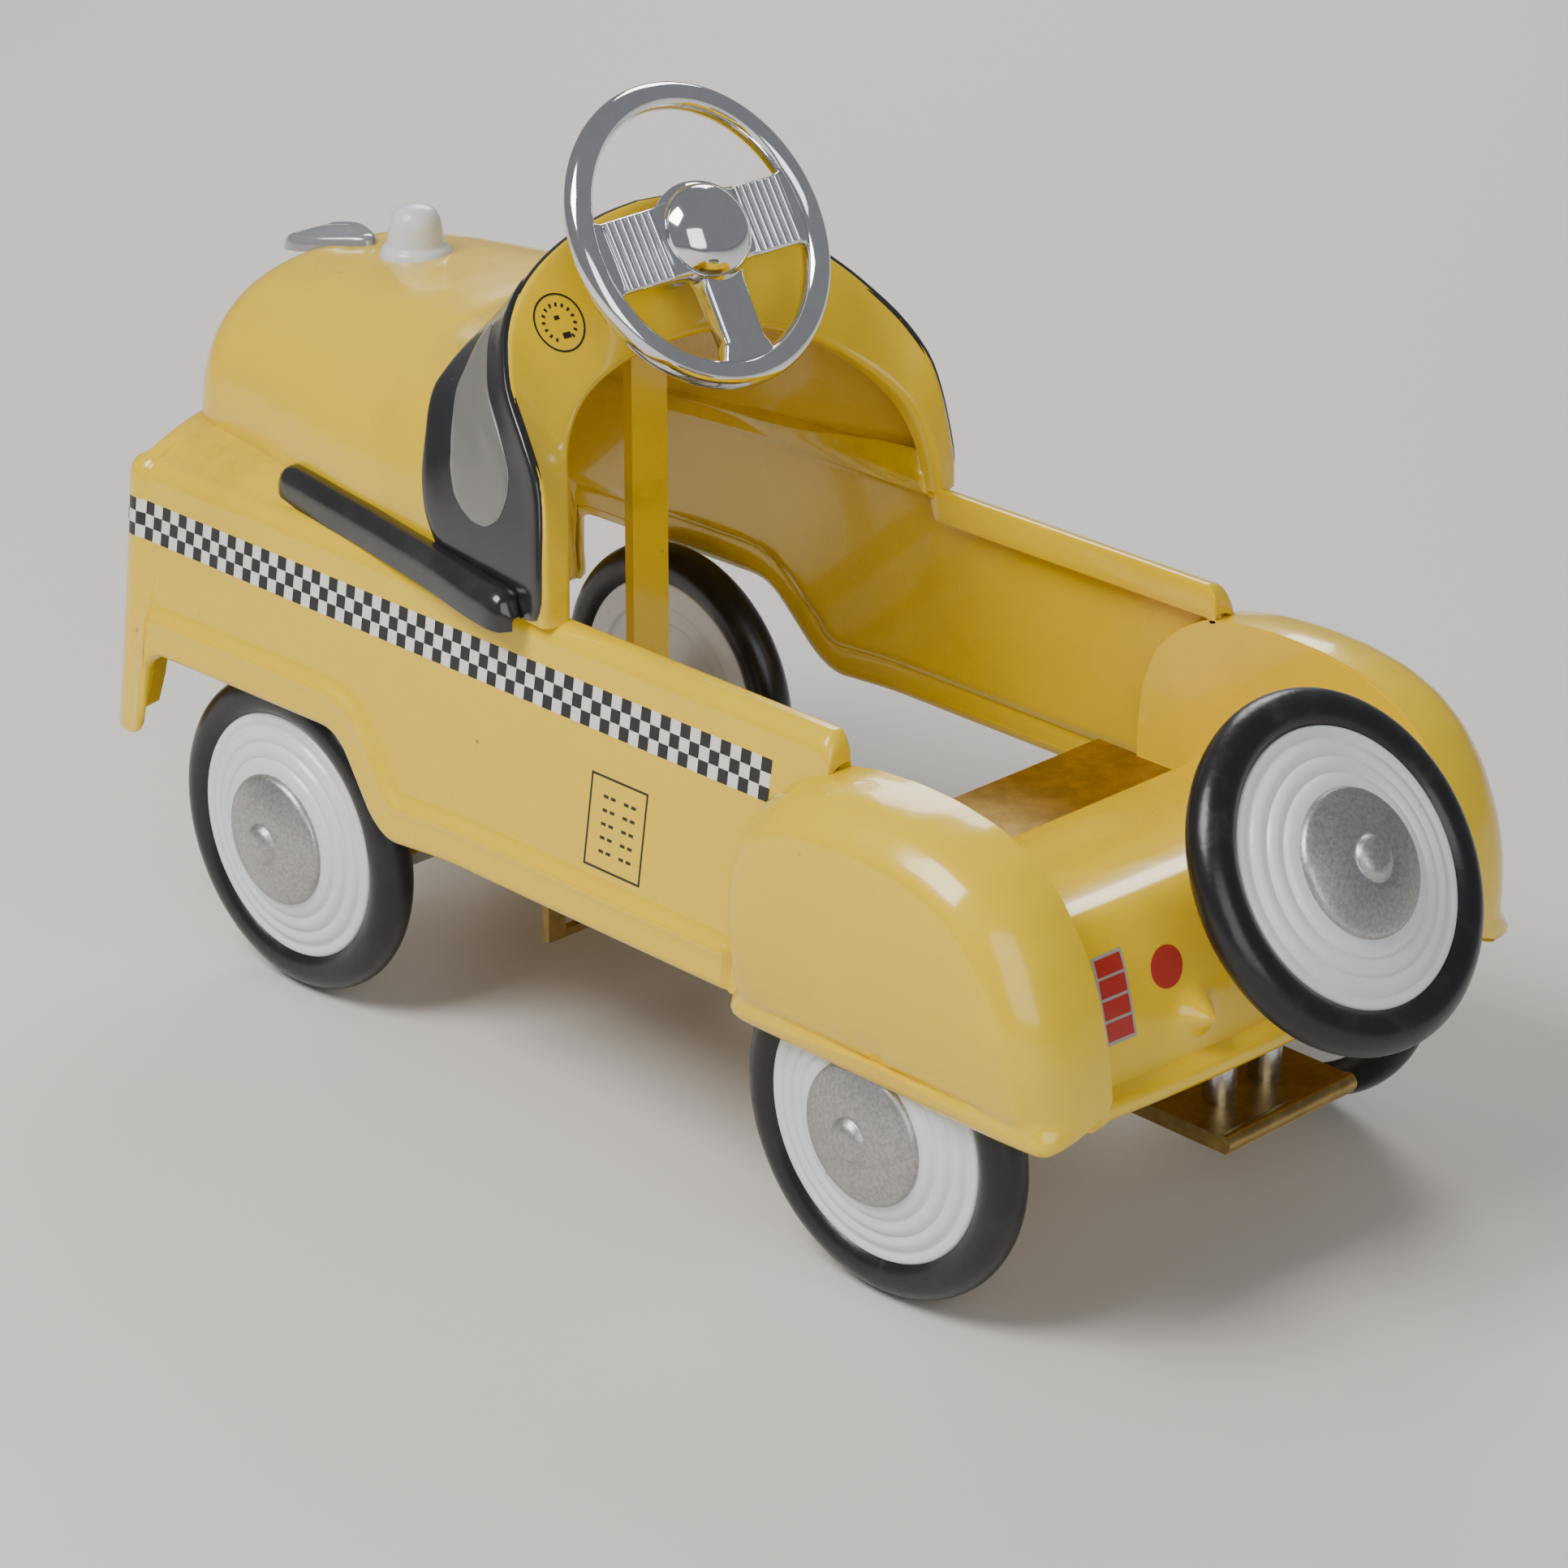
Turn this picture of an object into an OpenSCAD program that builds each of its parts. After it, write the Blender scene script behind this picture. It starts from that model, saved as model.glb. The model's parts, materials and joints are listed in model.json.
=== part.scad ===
// Die-cast collector's miniature of a taxi pedal car, about one sixth of the ride-on size.
// +Z is up, the floor is Z = 0, the middle plane is X = 0 and the nose points along -Y.

/* [Wheels] */
// Outside radius of every tyre
tyre_r = 17; // [16:0.1:18]
// Radius of the round tyre section
tyre_round = 2.25; // [2:0.05:2.5]
// Radius of the white pressed disc
rim_r = 13.2; // [12:0.1:14]
// Radius of the silver hub cap
cap_r = 7; // [6:0.1:8]
// Distance between the two axles
wheelbase = 87; // [85:0.5:89]
// Middle plane to the disc of a front wheel
front_track_half = 28.4; // [28:0.1:28.6]
// Middle plane to the disc of a rear wheel
rear_track_half = 30.5; // [30:0.1:31]

/* [Body] */
// Wall thickness of the casting
wall = 1.5; // [1.2:0.1:1.8]
// Width across the side walls at the sill
sill_w = 62.8; // [62:0.2:63.6]
// Height of the sill above the floor
sill_z = 24.5; // [24:0.1:25]
// Height of the cockpit rim above the floor
rim_z = 52; // [51:0.2:53]
// Lean of the side walls towards the top
lean = 8.3; // [8:0.1:8.6]
// Height of the top of the hood
hood_z = 72; // [71:0.2:73]
// Height of the cowl's top lip
cowl_z = 84.5; // [84:0.1:85]
// How far the rear fenders reach from the middle plane
fender_x = 35; // [34.5:0.1:35.5]

/* [Steering] */
// Outside radius of the steering wheel
helm_r = 15.57; // [15:0.05:16]
// Thickness of the steering wheel's ring
helm_tube = 2.8; // [2.6:0.1:3]
// Slope of the steering column
column_slope = 32; // [31:0.5:33]
// Height of the middle of the steering wheel
helm_z = 82.5; // [82:0.1:83]
// Throw of the crank pin on the column
crank_throw = 3.5; // [3.2:0.1:3.8]
// Length of each knuckle's steering arm
arm_len = 7; // [6.8:0.1:7.2]
// Middle plane to each kingpin
kingpin_x = 20.5; // [20.2:0.1:20.8]

/* [Pedal drive] */
// Throw of the rear crank axle
pedal_throw = 5; // [4.6:0.1:5.2]
// Length of each pedal rod
rod_len = 70; // [69:0.5:71]
// Middle plane to each pedal rod
rod_x = 12; // [11.8:0.1:12.2]

/* [Hidden] */

taxi_yellow = [0.95, 0.76, 0.10];
zinc_gold = [0.62, 0.52, 0.25];
silver = [0.72, 0.72, 0.74];
tyre_black = [0.06, 0.06, 0.06];
pale_white = [0.93, 0.93, 0.91];

$fn = 96;
fit = 0.05;

axle_z = tyre_r;
front_y = -46.7;
rear_y = front_y + wheelbase;

// Stations of the body along Y
nose_y = -74.6;
hood_rear_y = -41;
cowl_foot_y = -6.5;
notch_y = 31.5;
fender_front_y = 22;
tail_y = 64;

// Side outlines, as Y and Z
arch_z = 32.2;
arch_relief = 0.8;
side_outline = [
  [nose_y, 22.7], [-68.2, 22.7], [-65.3, arch_z - 0.5], [-63, arch_z], [-36.5, arch_z + 0.4],
  [-32.6, 30.5], [-29.2, sill_z + 0.5], [-27.3, sill_z - 0.7], [20, sill_z],
  [fender_front_y + 0.5, sill_z], [fender_front_y + 0.5, 47], [27.8, 49.2],
  [notch_y, 49.2], [notch_y, rim_z - 1], [-70, rim_z - 1], [nose_y + 0.8, rim_z - 4]];
fender_outline = [
  [24, 22.5], [22, 25], [22, 35], [23.6, 42.7], [27.8, 46.9], [33, 49], [43, 49.5],
  [53, 47.7], [58, 44], [62, 37], [64, 30], [64, 24.5], [60, 22.5]];
deck_line = [
  [29, 33], [35, 35.3], [41, 37], [51, 40.3], [56, 40], [59, 37.7], [61.6, 30], [63.2, 23.4]];

shaft_r = 1.2;
pin_r = 1;

// ---------- helpers ----------

module mirror_if(flip) {
  if (flip)
    mirror([1, 0, 0]) children();
  else
    children();
}

// Turns a shape drawn along +Z to lie along +X
module along_x() {
  rotate([0, 90, 0]) children();
}

// A slab with an outline in the Y-Z plane, from x0 outwards by t
module slab(points, x0, t) {
  translate([x0, 0, 0])
    rotate([90, 0, 90])
      linear_extrude(t) polygon(points);
}

// Leans the left side's parts inwards about the foot of the wall
module leaned() {
  translate([sill_w / 2, 0, sill_z])
    rotate([0, -lean, 0])
      translate([-sill_w / 2, 0, -sill_z]) children();
}

// Flat crank web between two round ends, reaching along +X
module web_plate(r1, r2, reach, t) {
  linear_extrude(t) {
    circle(r1);
    translate([reach, 0]) circle(r2);
    polygon([[0, -r1], [reach, -r2], [reach, r2], [0, r1]]);
  }
}

// A band of constant thickness t along a line of points
function normal2(p, q) = let (d = q - p) [-d[1], d[0]] / norm(d);
function corner_normal(line, i) =
  let (a = normal2(line[max(i - 1, 0)], line[max(i, 1)]),
       b = normal2(line[min(i, len(line) - 2)], line[min(i + 1, len(line) - 1)]),
       m = (a + b) / norm(a + b))
  m / (m * a);
function band(line, t) = concat(
  [for (i = [0 : len(line) - 1]) line[i]],
  [for (i = [len(line) - 1 : -1 : 0]) line[i] - t * corner_normal(line, i)]);

// ---------- wheels ----------

// Tyre round the disc; the rim plane is X = 0 and the outside faces +X
module tyre_shape() {
  rotate_extrude_x()
    translate([tyre_r - tyre_round, 0]) difference() {
      translate([0, -1.6]) circle(tyre_round, $fn = 48);
      translate([rim_r - tyre_r + tyre_round - 3, -5]) square([3, 10]);
    }
}

// Turns a profile (radius, axial place) about the X axis
module rotate_extrude_x() {
  rotate([0, 90, 0]) rotate([0, 0, 90]) rotate_extrude() children();
}

// Pressed disc with stepped rings on both faces and a long hub boss behind
module rim_shape(bore) {
  rotate_extrude_x() polygon([
    [bore, -5], [3.2, -5], [3.2, -2.6], [8.2, -2.6], [8.2, -3], [10.4, -3], [10.4, -3.4],
    [rim_r, -3.4], [rim_r, -0.1], [12.9, 0.1], [11.8, 0], [11.5, 0.35], [10.2, 0.45],
    [9.9, 0.8], [8.7, 0.9], [8.4, 1.2], [cap_r - 0.6, 1.3], [3, 1.4], [bore, 1.4]]);
}

// Domed cap with a round nub, open behind
module hubcap_shape() {
  rotate_extrude_x() difference() {
    union() {
      polygon([[0, 1.3], [cap_r, 1.3], [cap_r - 0.15, 1.75], [cap_r - 1, 2.2], [5, 2.6],
        [3.6, 2.95], [0, 3.2]]);
      intersection() {
        translate([0, 2.1]) circle(2.1, $fn = 48);
        translate([0, 1.4]) square([4, 4]);
      }
    }
    polygon([[0, 1.2], [cap_r - 1, 1.2], [cap_r - 1.6, 1.8], [4, 2.4], [0, 2.65]]);
    translate([-5, -5]) square([5, 12]);
  }
}

// Puts a wheel's part at its axle; the right side is a mirror of the left
module at_wheel(x, y, right) {
  mirror_if(right) translate([x, y, axle_z]) children();
}

spare_tilt = 33.6;
module at_spare() {
  translate([0, 69.2, 43.1])
    rotate([spare_tilt, 0, 0]) rotate([0, 0, 90]) children();
}

module wheel_tyre(x, y, right) color(tyre_black) at_wheel(x, y, right) tyre_shape();
module wheel_rim(x, y, right, bore) color(pale_white) at_wheel(x, y, right) rim_shape(bore);
module wheel_cap(x, y, right) color(silver) at_wheel(x, y, right) hubcap_shape();

// ---------- body casting ----------

module side(right) color(taxi_yellow) mirror_if(right) leaned() difference() {
  union() {
    slab(side_outline, sill_w / 2 - wall, wall);
    intersection() {
      slab(side_outline, sill_w / 2 - wall, wall + 0.5);
      translate([0, nose_y - 1, 0]) cube([60, fender_front_y - nose_y + 1, arch_z + 4.5]);
    }
  }
  // Room inside the arch for the turning tyre
  translate([sill_w / 2 - wall - 1, -66, 0]) cube([1 + arch_relief, 33, arch_z + 3.5]);
}

// Front wall, curved in plan
nose_bow_r = 150;
module nose_panel() color(taxi_yellow) intersection() {
  translate([0, nose_y - 3.3 + nose_bow_r, 30]) linear_extrude(rim_z - 30) difference() {
    circle(nose_bow_r, $fn = 256);
    circle(nose_bow_r - wall, $fn = 256);
  }
  translate([0, -60, 0]) rotate([90, 0, 0]) linear_extrude(30)
    polygon([[-30.2, 30], [30.2, 30], [27.2, rim_z], [-27.2, rim_z]]);
}

// Top of a front fender, between the side wall and the hood
module pontoon(right) color(taxi_yellow) mirror_if(right)
  translate([0, 0, rim_z - 1]) linear_extrude(wall + 0.7)
    polygon([[28.2, -71], [28.2, cowl_foot_y - 1], [25.5, cowl_foot_y - 1], [24.2, -35],
      [22, -50], [18.8, -66], [17, -71], [10, -76.2], [14, -76.4], [22, -75.4]]);

// Arch-shaped section of the hood or cowl, half width w and height up to top
function arch_points(w, top, foot, square_off) = [
  for (a = [0 : 6 : 180])
    [w * sign(cos(a)) * pow(abs(cos(a)), square_off),
     foot + (top - foot) * pow(sin(a), square_off)]];
module section(y, w, top, foot = rim_z, square_off = 0.78) {
  translate([0, y, 0]) rotate([90, 0, 0])
    linear_extrude(0.1) polygon(arch_points(w, top, foot, square_off));
}

module hood_form(t) {
  hull() {
    section(-76.6 + t, 9 - t / 2, 62.5 - t, rim_z - t);
    section(-74.6 + t, 15 - t, 66 - t, rim_z - t);
    section(-70.5 + t, 19 - t, 68.3 - t, rim_z - t);
    section(-60, 21 - t, hood_z - 1.6 - t, rim_z - t);
    section(hood_rear_y + (t > 0 ? 1 : 0), 24 - t, hood_z - t, rim_z - t);
  }
}
module hood() color(taxi_yellow) difference() {
  hood_form(0);
  hood_form(wall);
}

// The cowl flares from the hood to a leaning lip round the dash
lip_lean = atan2(cowl_z - rim_z, 16.5) - 90;
module lip_section(w, height, back, thick) {
  translate([0, cowl_foot_y + back, rim_z]) rotate([90 - lip_lean, 0, 0])
    linear_extrude(thick) polygon([
      for (a = [0 : 6 : 180]) [w * sign(cos(a)) * pow(abs(cos(a)), 0.62),
        height * pow(sin(a), 0.95)]]);
}
lip_w = 28;
lip_h = 36.4;
module cowl() color(taxi_yellow) difference() {
  hull() {
    section(hood_rear_y, 24, hood_z);
    lip_section(lip_w, lip_h, 0, 0.6);
  }
  hull() {
    section(hood_rear_y - 0.2, 24 - wall, hood_z - wall, rim_z - 3);
    lip_section(lip_w - wall, lip_h - wall, 0.6, 0.6);
  }
  translate([-40, -60, rim_z - 10]) cube([80, 80, 10]);
}

opening_w = 24.4;
opening_h = 21.5;
module dash_panel() color(taxi_yellow) difference() {
  lip_section(lip_w - wall - 0.2, lip_h - wall - 0.2, -0.7, wall);
  translate([0, cowl_foot_y + 4, rim_z - 0.1]) rotate([90 - lip_lean, 0, 0])
    linear_extrude(12) polygon([
      for (a = [0 : 6 : 180]) [opening_w * sign(cos(a)) * pow(abs(cos(a)), 0.7),
        opening_h * pow(sin(a), 0.8)]]);
  at_column() cylinder(r = bush_r, h = 60, center = true);
}

// Rolled top edge of the cockpit side, ending in the notch
module cockpit_rim(right) color(taxi_yellow) mirror_if(right) {
  translate([26.1, cowl_foot_y - 2, rim_z - 1.3]) rotate([-90, 0, 0])
    cylinder(r = 1.3, h = notch_y - cowl_foot_y + 1, $fn = 32);
  translate([24.9, cowl_foot_y - 2, rim_z - 4])
    cube([2.2, notch_y - cowl_foot_y + 1, 3]);
}

// Rounded rear fender standing proud of the side, hollow over the wheel
module fender_slice(shrink, x0, x1) {
  translate([x0, 0, 0]) rotate([90, 0, 90])
    linear_extrude(x1 - x0) offset(delta = -shrink) polygon(fender_outline);
}
module rear_fender(right) color(taxi_yellow) mirror_if(right) difference() {
  hull() {
    fender_slice(0, 25, 31.5);
    fender_slice(1, 31.5, 33.6);
    fender_slice(4, 34.6, fender_x);
  }
  hull() {
    fender_slice(wall, 26.5, 31.2);
    fender_slice(wall + 1, 31.2, 32.2);
    fender_slice(wall + 4, 33, 33.5);
  }
  // Open below, and open inwards under the deck
  translate([26.5, 24, 20]) cube([6.8, 38, 6]);
  slab([[20, 10], [20, 31], [29, 31.4], [36, 34], [62, 34], [62, 10]], 20, 6.6);
}

module tail_deck() color(taxi_yellow) difference() {
  slab(band(deck_line, -wall), -26.2, 52.4);
  at_spare() along_x() cylinder(r = shaft_r, h = 60, center = true);
}

// Flat seat between the fenders, ahead of the tail
seat_w = 50.6;
seat_t = 0.8;
module seat_plate() color(zinc_gold)
  translate([-seat_w / 2, 16.5, 30.6]) cube([seat_w, 15, seat_t]);

// ---------- trim ----------

ornament_r = 20.5;
module hood_ornament() color(silver) difference() {
  translate([0, -70.2, 67.4]) intersection() {
    translate([0, 0, ornament_r * -0.84]) sphere(r = ornament_r, $fn = 64);
    linear_extrude(4) hull() {
      translate([0, -4.4]) circle(3.4, $fn = 32);
      translate([0, 4.2]) circle(2.4, $fn = 32);
    }
  }
  hood_form(0);
}

light_y = -57.3;
module roof_light() color(pale_white) translate([0, light_y, 70]) difference() {
  rotate_extrude() polygon([
    [0, -1.2], [3.9, -1.2], [3.9, 0.6], [3.5, 1.2], [2.9, 1.6], [2.7, 2.2], [2.8, 3.6],
    [2.6, 4.8], [2, 5.6], [1.1, 6], [0, 6.1]]);
  translate([0, -light_y, -70]) hood_form(0);
}

// Raised black bar on the fender beside the hood
duct_len = 27;
duct_r = 1.8;
module duct(right) color(tyre_black) mirror_if(right)
  translate([22.6, -51, rim_z + 1.2]) rotate([0, 0, -9]) {
    translate([-duct_r, 0, 0]) cube([2 * duct_r, duct_len, 1.6]);
    translate([0, 0, 1.6]) rotate([-90, 0, 0]) cylinder(r = duct_r, h = duct_len, $fn = 32);
  }

// Strip hanging from the dash that carries the rod guide
strip_y = -22.5;
strip_w = 4.8;
strip_t = 1.2;
strip_foot = 13;
strip_top = 82.3;
module dash_strip() color(taxi_yellow) difference() {
  translate([-strip_w / 2, strip_y - strip_t / 2, strip_foot])
    cube([strip_w, strip_t, strip_top - strip_foot]);
  at_column() cylinder(r = column_r + 0.45, h = 60, center = true);
}

// Plate with an upright window for each pedal rod
guide_w = 31;
guide_foot = 9.3;
guide_h = 16;
window_w = 2.4;
window_h = 13.6;
module rod_guide() color(zinc_gold) translate([0, strip_y + strip_t / 2, 0]) difference() {
  translate([-guide_w / 2, 0, guide_foot]) cube([guide_w, 1, guide_h]);
  for (side = [-1, 1])
    translate([side * rod_x - window_w / 2, -1, guide_foot + 0.9])
      cube([window_w, 3, window_h]);
}

// ---------- steering ----------

helm_y = -14.55;
// Frame whose +Z runs up the column towards the driver, with 0 at the wheel
module at_column() {
  translate([0, helm_y, helm_z]) rotate([-(90 - column_slope), 0, 0]) rotate([0, 0, 180])
    children();
}

// Three spokes: two broad ribbed ones across and a narrower grooved one below
spoke_w = 7.3;
spoke_t = 1.2;
spoke_len = helm_r - 4.6;
low_spoke_w = 5;
rib_step = 1.35;
module helm_ring() {
  rotate_extrude() translate([helm_r - helm_tube / 2, 0]) circle(helm_tube / 2, $fn = 32);
}
module helm_hub() {
  translate([0, 0, -2.4]) cylinder(r = 3.2, h = 3);
  intersection() {
    cylinder(r = 5, h = 4.2);
    translate([0, 0, -3.4]) sphere(r = 6.6);
  }
}
module steering_wheel() color(silver) at_column() difference() {
  union() {
    helm_ring();
    helm_hub();
    for (side = [-1, 1]) {
      translate([side > 0 ? 3 : -3 - spoke_len, -spoke_w / 2, -0.5])
        cube([spoke_len, spoke_w, spoke_t]);
      for (rib = [0 : 5])
        translate([side * (5.4 + rib * rib_step), 0, spoke_t - 0.5]) rotate([90, 0, 0])
          cylinder(r = 0.42, h = spoke_w - 0.6, center = true, $fn = 24);
      translate([side * 1.7, -3, spoke_t - 0.5]) rotate([90, 0, 0])
        cylinder(r = 0.5, h = helm_r - 5, $fn = 24);
    }
    translate([-low_spoke_w / 2, -3 - spoke_len, -0.5])
      cube([low_spoke_w, spoke_len, spoke_t]);
  }
  translate([0, 0, -3]) cylinder(r = column_r, h = 4);
}

column_len = 31.2;
column_r = 1.25;
crank_pin_r = 0.8;
module steering_column() color(silver) at_column() {
  translate([0, 0, -column_len - 1.2]) cylinder(r = column_r, h = column_len + 2.2);
  // Crank web and pin at the foot
  translate([0, 0, -column_len - 1.2]) rotate([0, 0, -90])
    web_plate(1.7, 1.5, crank_throw, 1.2);
  translate([0, -crank_throw, -column_len - 3.4]) cylinder(r = crank_pin_r, h = 3);
}
// Middle of the crank pin's eye, which the drop link hangs from
eye_y = helm_y - (column_len + 2.4) * cos(column_slope) + crank_throw * sin(column_slope);
eye_z = helm_z - (column_len + 2.4) * sin(column_slope) - crank_throw * cos(column_slope);

bush_r = 2.7;
bush_h = 3.6;
bush_flange_r = 3.6;
module column_bush() color(silver) at_column() translate([0, 0, -8.4]) difference() {
  union() {
    cylinder(r = bush_r, h = bush_h);
    translate([0, 0, bush_h - 0.8]) cylinder(r = bush_flange_r, h = 0.8);
  }
  translate([0, 0, -1]) cylinder(r = column_r + fit, h = bush_h + 4);
}

module column_hanger() color(taxi_yellow) difference() {
  union() {
    at_column() translate([0, 0, -28.5]) cylinder(r = 3, h = 3);
    translate([-1.2, -39.6, 67.5]) cube([2.4, 3.4, 4]);
  }
  at_column() cylinder(r = column_r + fit, h = 90, center = true);
}

// Straight link from the crank pin down to the tie rod
link_foot = 12.4;
module drop_link() color(silver) difference() {
  union() {
    at_column() translate([0, -crank_throw, -column_len - 3.2]) cylinder(r = 1.9, h = 1.6);
    translate([0, tie_y, link_foot])
      cylinder(r = crank_pin_r, h = eye_z - link_foot - spoke_t);
  }
  at_column() translate([0, -crank_throw, -column_len - 5])
    cylinder(r = crank_pin_r + fit, h = 6);
}

tie_y = front_y + arm_len;
beam_w = 3;
yoke_h = 8;
yoke_t = 1.4;
module front_beam() color(zinc_gold) difference() {
  union() {
    translate([-kingpin_x + 3, front_y - beam_w / 2, axle_z - 1])
      cube([2 * kingpin_x - 6, beam_w, 2]);
    for (side = [-1, 1]) {
      translate([side * (kingpin_x - 3.4) - 0.6, front_y - beam_w / 2, axle_z - yoke_h / 2])
        cube([1.2, beam_w, yoke_h]);
      for (z = [axle_z - yoke_h / 2, axle_z + yoke_h / 2 - yoke_t]) {
        translate([side * kingpin_x, front_y, z]) cylinder(r = 2, h = yoke_t);
        translate([side * kingpin_x - (side > 0 ? 3.8 : 0), front_y - beam_w / 2, z])
          cube([3.8, beam_w, yoke_t]);
      }
    }
  }
  for (side = [-1, 1])
    translate([side * kingpin_x, front_y, axle_z - 6]) cylinder(r = pin_r, h = 12);
}

// Two posts that hang the beam from the hood
module beam_saddle() color(zinc_gold)
  for (side = [-1, 1])
    translate([side * 5 - 1, front_y - 1, axle_z + 1]) cube([2, 2, rim_z + 18 - axle_z]);

module kingpins() color(silver)
  for (side = [-1, 1])
    translate([side * kingpin_x, front_y, axle_z - 4.6]) {
      cylinder(r = pin_r, h = 9.2);
      cylinder(r = 1.7, h = 0.6);
    }

module knuckle(right) color(silver) mirror_if(right) translate([kingpin_x, front_y, axle_z])
  difference() {
    union() {
      translate([0, 0, -2.3]) cylinder(r = 2.2, h = 4.6);
      along_x() cylinder(r = shaft_r, h = front_track_half - kingpin_x + 2);
      along_x() cylinder(r = 1.9, h = 2.6);
      translate([front_track_half - kingpin_x + 1.7, 0, 0]) along_x()
        cylinder(r = 2.1, h = 0.4);
      translate([-1, 1, -2.2]) cube([2, arm_len - 1, 1.4]);
      translate([0, arm_len, -2.2]) cylinder(r = 1.4, h = 1.4);
      translate([0, arm_len, -4.2]) cylinder(r = crank_pin_r, h = 2.4);
    }
    translate([0, 0, -5]) cylinder(r = pin_r + fit, h = 10);
  }

module tie_rod() color(silver) translate([0, tie_y, axle_z - 3.9]) difference() {
  union() {
    translate([-kingpin_x, -1, 0]) cube([2 * kingpin_x, 2, 1.2]);
    cylinder(r = 2.8, h = 1.2);
    for (side = [-1, 1])
      translate([side * kingpin_x, 0, 0]) cylinder(r = 1.7, h = 1.2);
  }
  translate([0, 0, -1]) cylinder(r = 1.6, h = 4);
  for (side = [-1, 1])
    translate([side * kingpin_x, 0, -1]) cylinder(r = crank_pin_r + fit, h = 4);
}

// ---------- pedal drive ----------

web_in = rod_x - 1.3;
web_out = rod_x + 1.3;
web_t = 1.4;
// Left throw points forwards and the right throw backwards
module crank_axle() color(silver) translate([0, rear_y, axle_z]) {
  translate([-web_in, 0, 0]) along_x() cylinder(r = shaft_r, h = 2 * web_in);
  for (side = [-1, 1]) {
    throw_y = -side * pedal_throw;
    mirror_if(side < 0) {
      translate([web_out, 0, 0]) along_x()
        cylinder(r = shaft_r, h = rear_track_half + 1.9 - web_out);
      translate([rear_track_half - 7.2, 0, 0]) along_x() cylinder(r = 2, h = 1.9);
      translate([web_in - 0.2, throw_y, 0]) along_x()
        cylinder(r = pin_r, h = web_out - web_in + 0.4);
      for (x = [web_in - web_t, web_out])
        translate([x, 0, 0]) rotate([90, 0, 90]) mirror([side > 0 ? 1 : 0, 0, 0])
          web_plate(1.9, 1.7, pedal_throw, web_t);
    }
  }
}

// Flat strap from a crank throw forwards to its pedal
module pedal_rod(side) color(zinc_gold)
  translate([side * rod_x, rear_y - side * pedal_throw, axle_z]) difference() {
    translate([-0.7, 0, 0]) union() {
      along_x() cylinder(r = 1.9, h = 1.4);
      translate([0, -rod_len, -1.2]) cube([1.4, rod_len, 2.4]);
      translate([0, -rod_len, 0]) along_x() cylinder(r = 1.6, h = 1.4);
    }
    translate([-2, 0, 0]) along_x() cylinder(r = pin_r + fit, h = 4);
  }

// Block pedal standing on its rod, a little behind the guide
pedal_back = 16;
module pedal(side) color(tyre_black)
  translate([side * rod_x, rear_y - side * pedal_throw - rod_len + pedal_back, axle_z + 1.2])
    difference() {
      translate([-4, -1.3, 0]) cube([8, 2.6, 4.4]);
      for (groove = [1.1 : 1.1 : 3.3])
        translate([-5, 1.3, groove]) rotate([0, 90, 0]) cylinder(r = 0.25, h = 10, $fn = 24);
    }

// Plate and ears that hold the rear axle, reaching back under the tail
bracket_w = 18;
bracket_t = 1.6;
ear_half = 7;
ear_t = 0.8;
screw_x = 3.2;
screw_y = 58;
screw_r = 0.9;
head_r = 1.8;
module rear_bracket() color(zinc_gold) difference() {
  union() {
    translate([-bracket_w / 2, rear_y + 8, axle_z - bracket_t])
      cube([bracket_w, 15.7, bracket_t]);
    translate([-bracket_w / 2, rear_y + 23.2, axle_z - bracket_t + 0.9]) along_x()
      cylinder(r = 0.9, h = bracket_w);
    for (side = [-1, 1]) {
      translate([side > 0 ? ear_half - ear_t : -ear_half, rear_y - 3, axle_z - bracket_t])
        cube([ear_t, 12, 4.4]);
      translate([side * (ear_half - ear_t / 2), rear_y, axle_z]) along_x()
        cylinder(r = 3, h = ear_t, center = true);
    }
  }
  translate([-20, rear_y, axle_z]) along_x() cylinder(r = shaft_r + fit, h = 40);
  for (side = [-1, 1])
    translate([side * screw_x, screw_y, 0]) {
      cylinder(r = screw_r + fit, h = 30);
      cylinder(r = head_r + fit, h = axle_z - bracket_t / 2);
    }
}

// Sunk screws and the tubes they pull up against under the tail
module bracket_screws() color(silver)
  for (side = [-1, 1])
    translate([side * screw_x, screw_y, 0]) {
      translate([0, 0, axle_z - bracket_t + 0.1]) cylinder(r = head_r, h = 0.7);
      translate([0, 0, axle_z - bracket_t + 0.1]) cylinder(r = screw_r, h = 18);
      translate([0, 0, axle_z]) cylinder(r = 1.6, h = 20);
    }

module spare_stud() color(silver) at_spare() {
  translate([-17, 0, 0]) along_x() cylinder(r = shaft_r, h = 18.6);
  translate([-8, 0, 0]) along_x() cylinder(r = 2.6, h = 2.9);
}

// ---------- nodes ----------

side(false);  // side_left
side(true);  // side_right
nose_panel();
pontoon(false);  // pontoon_left
pontoon(true);  // pontoon_right
hood();
cowl();
dash_panel();
cockpit_rim(false);  // cockpit_rim_left
cockpit_rim(true);  // cockpit_rim_right
rear_fender(false);  // rear_fender_left
rear_fender(true);  // rear_fender_right
tail_deck();
seat_plate();
hood_ornament();
roof_light();
duct(false);  // duct_left
duct(true);  // duct_right
dash_strip();
rod_guide();
column_bush();
column_hanger();
front_beam();
beam_saddle();
kingpins();
rear_bracket();
bracket_screws();
spare_stud();
color(tyre_black) at_spare() tyre_shape();  // spare_tyre
color(pale_white) at_spare() rim_shape(shaft_r);  // spare_rim
color(silver) at_spare() hubcap_shape();  // spare_hubcap
steering_wheel();
steering_column();
drop_link();
knuckle(false);  // knuckle_left
knuckle(true);  // knuckle_right
tie_rod();
wheel_tyre(front_track_half, front_y, false);  // tyre_front_left
wheel_rim(front_track_half, front_y, false, shaft_r + fit);  // rim_front_left
wheel_cap(front_track_half, front_y, false);  // hubcap_front_left
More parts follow.
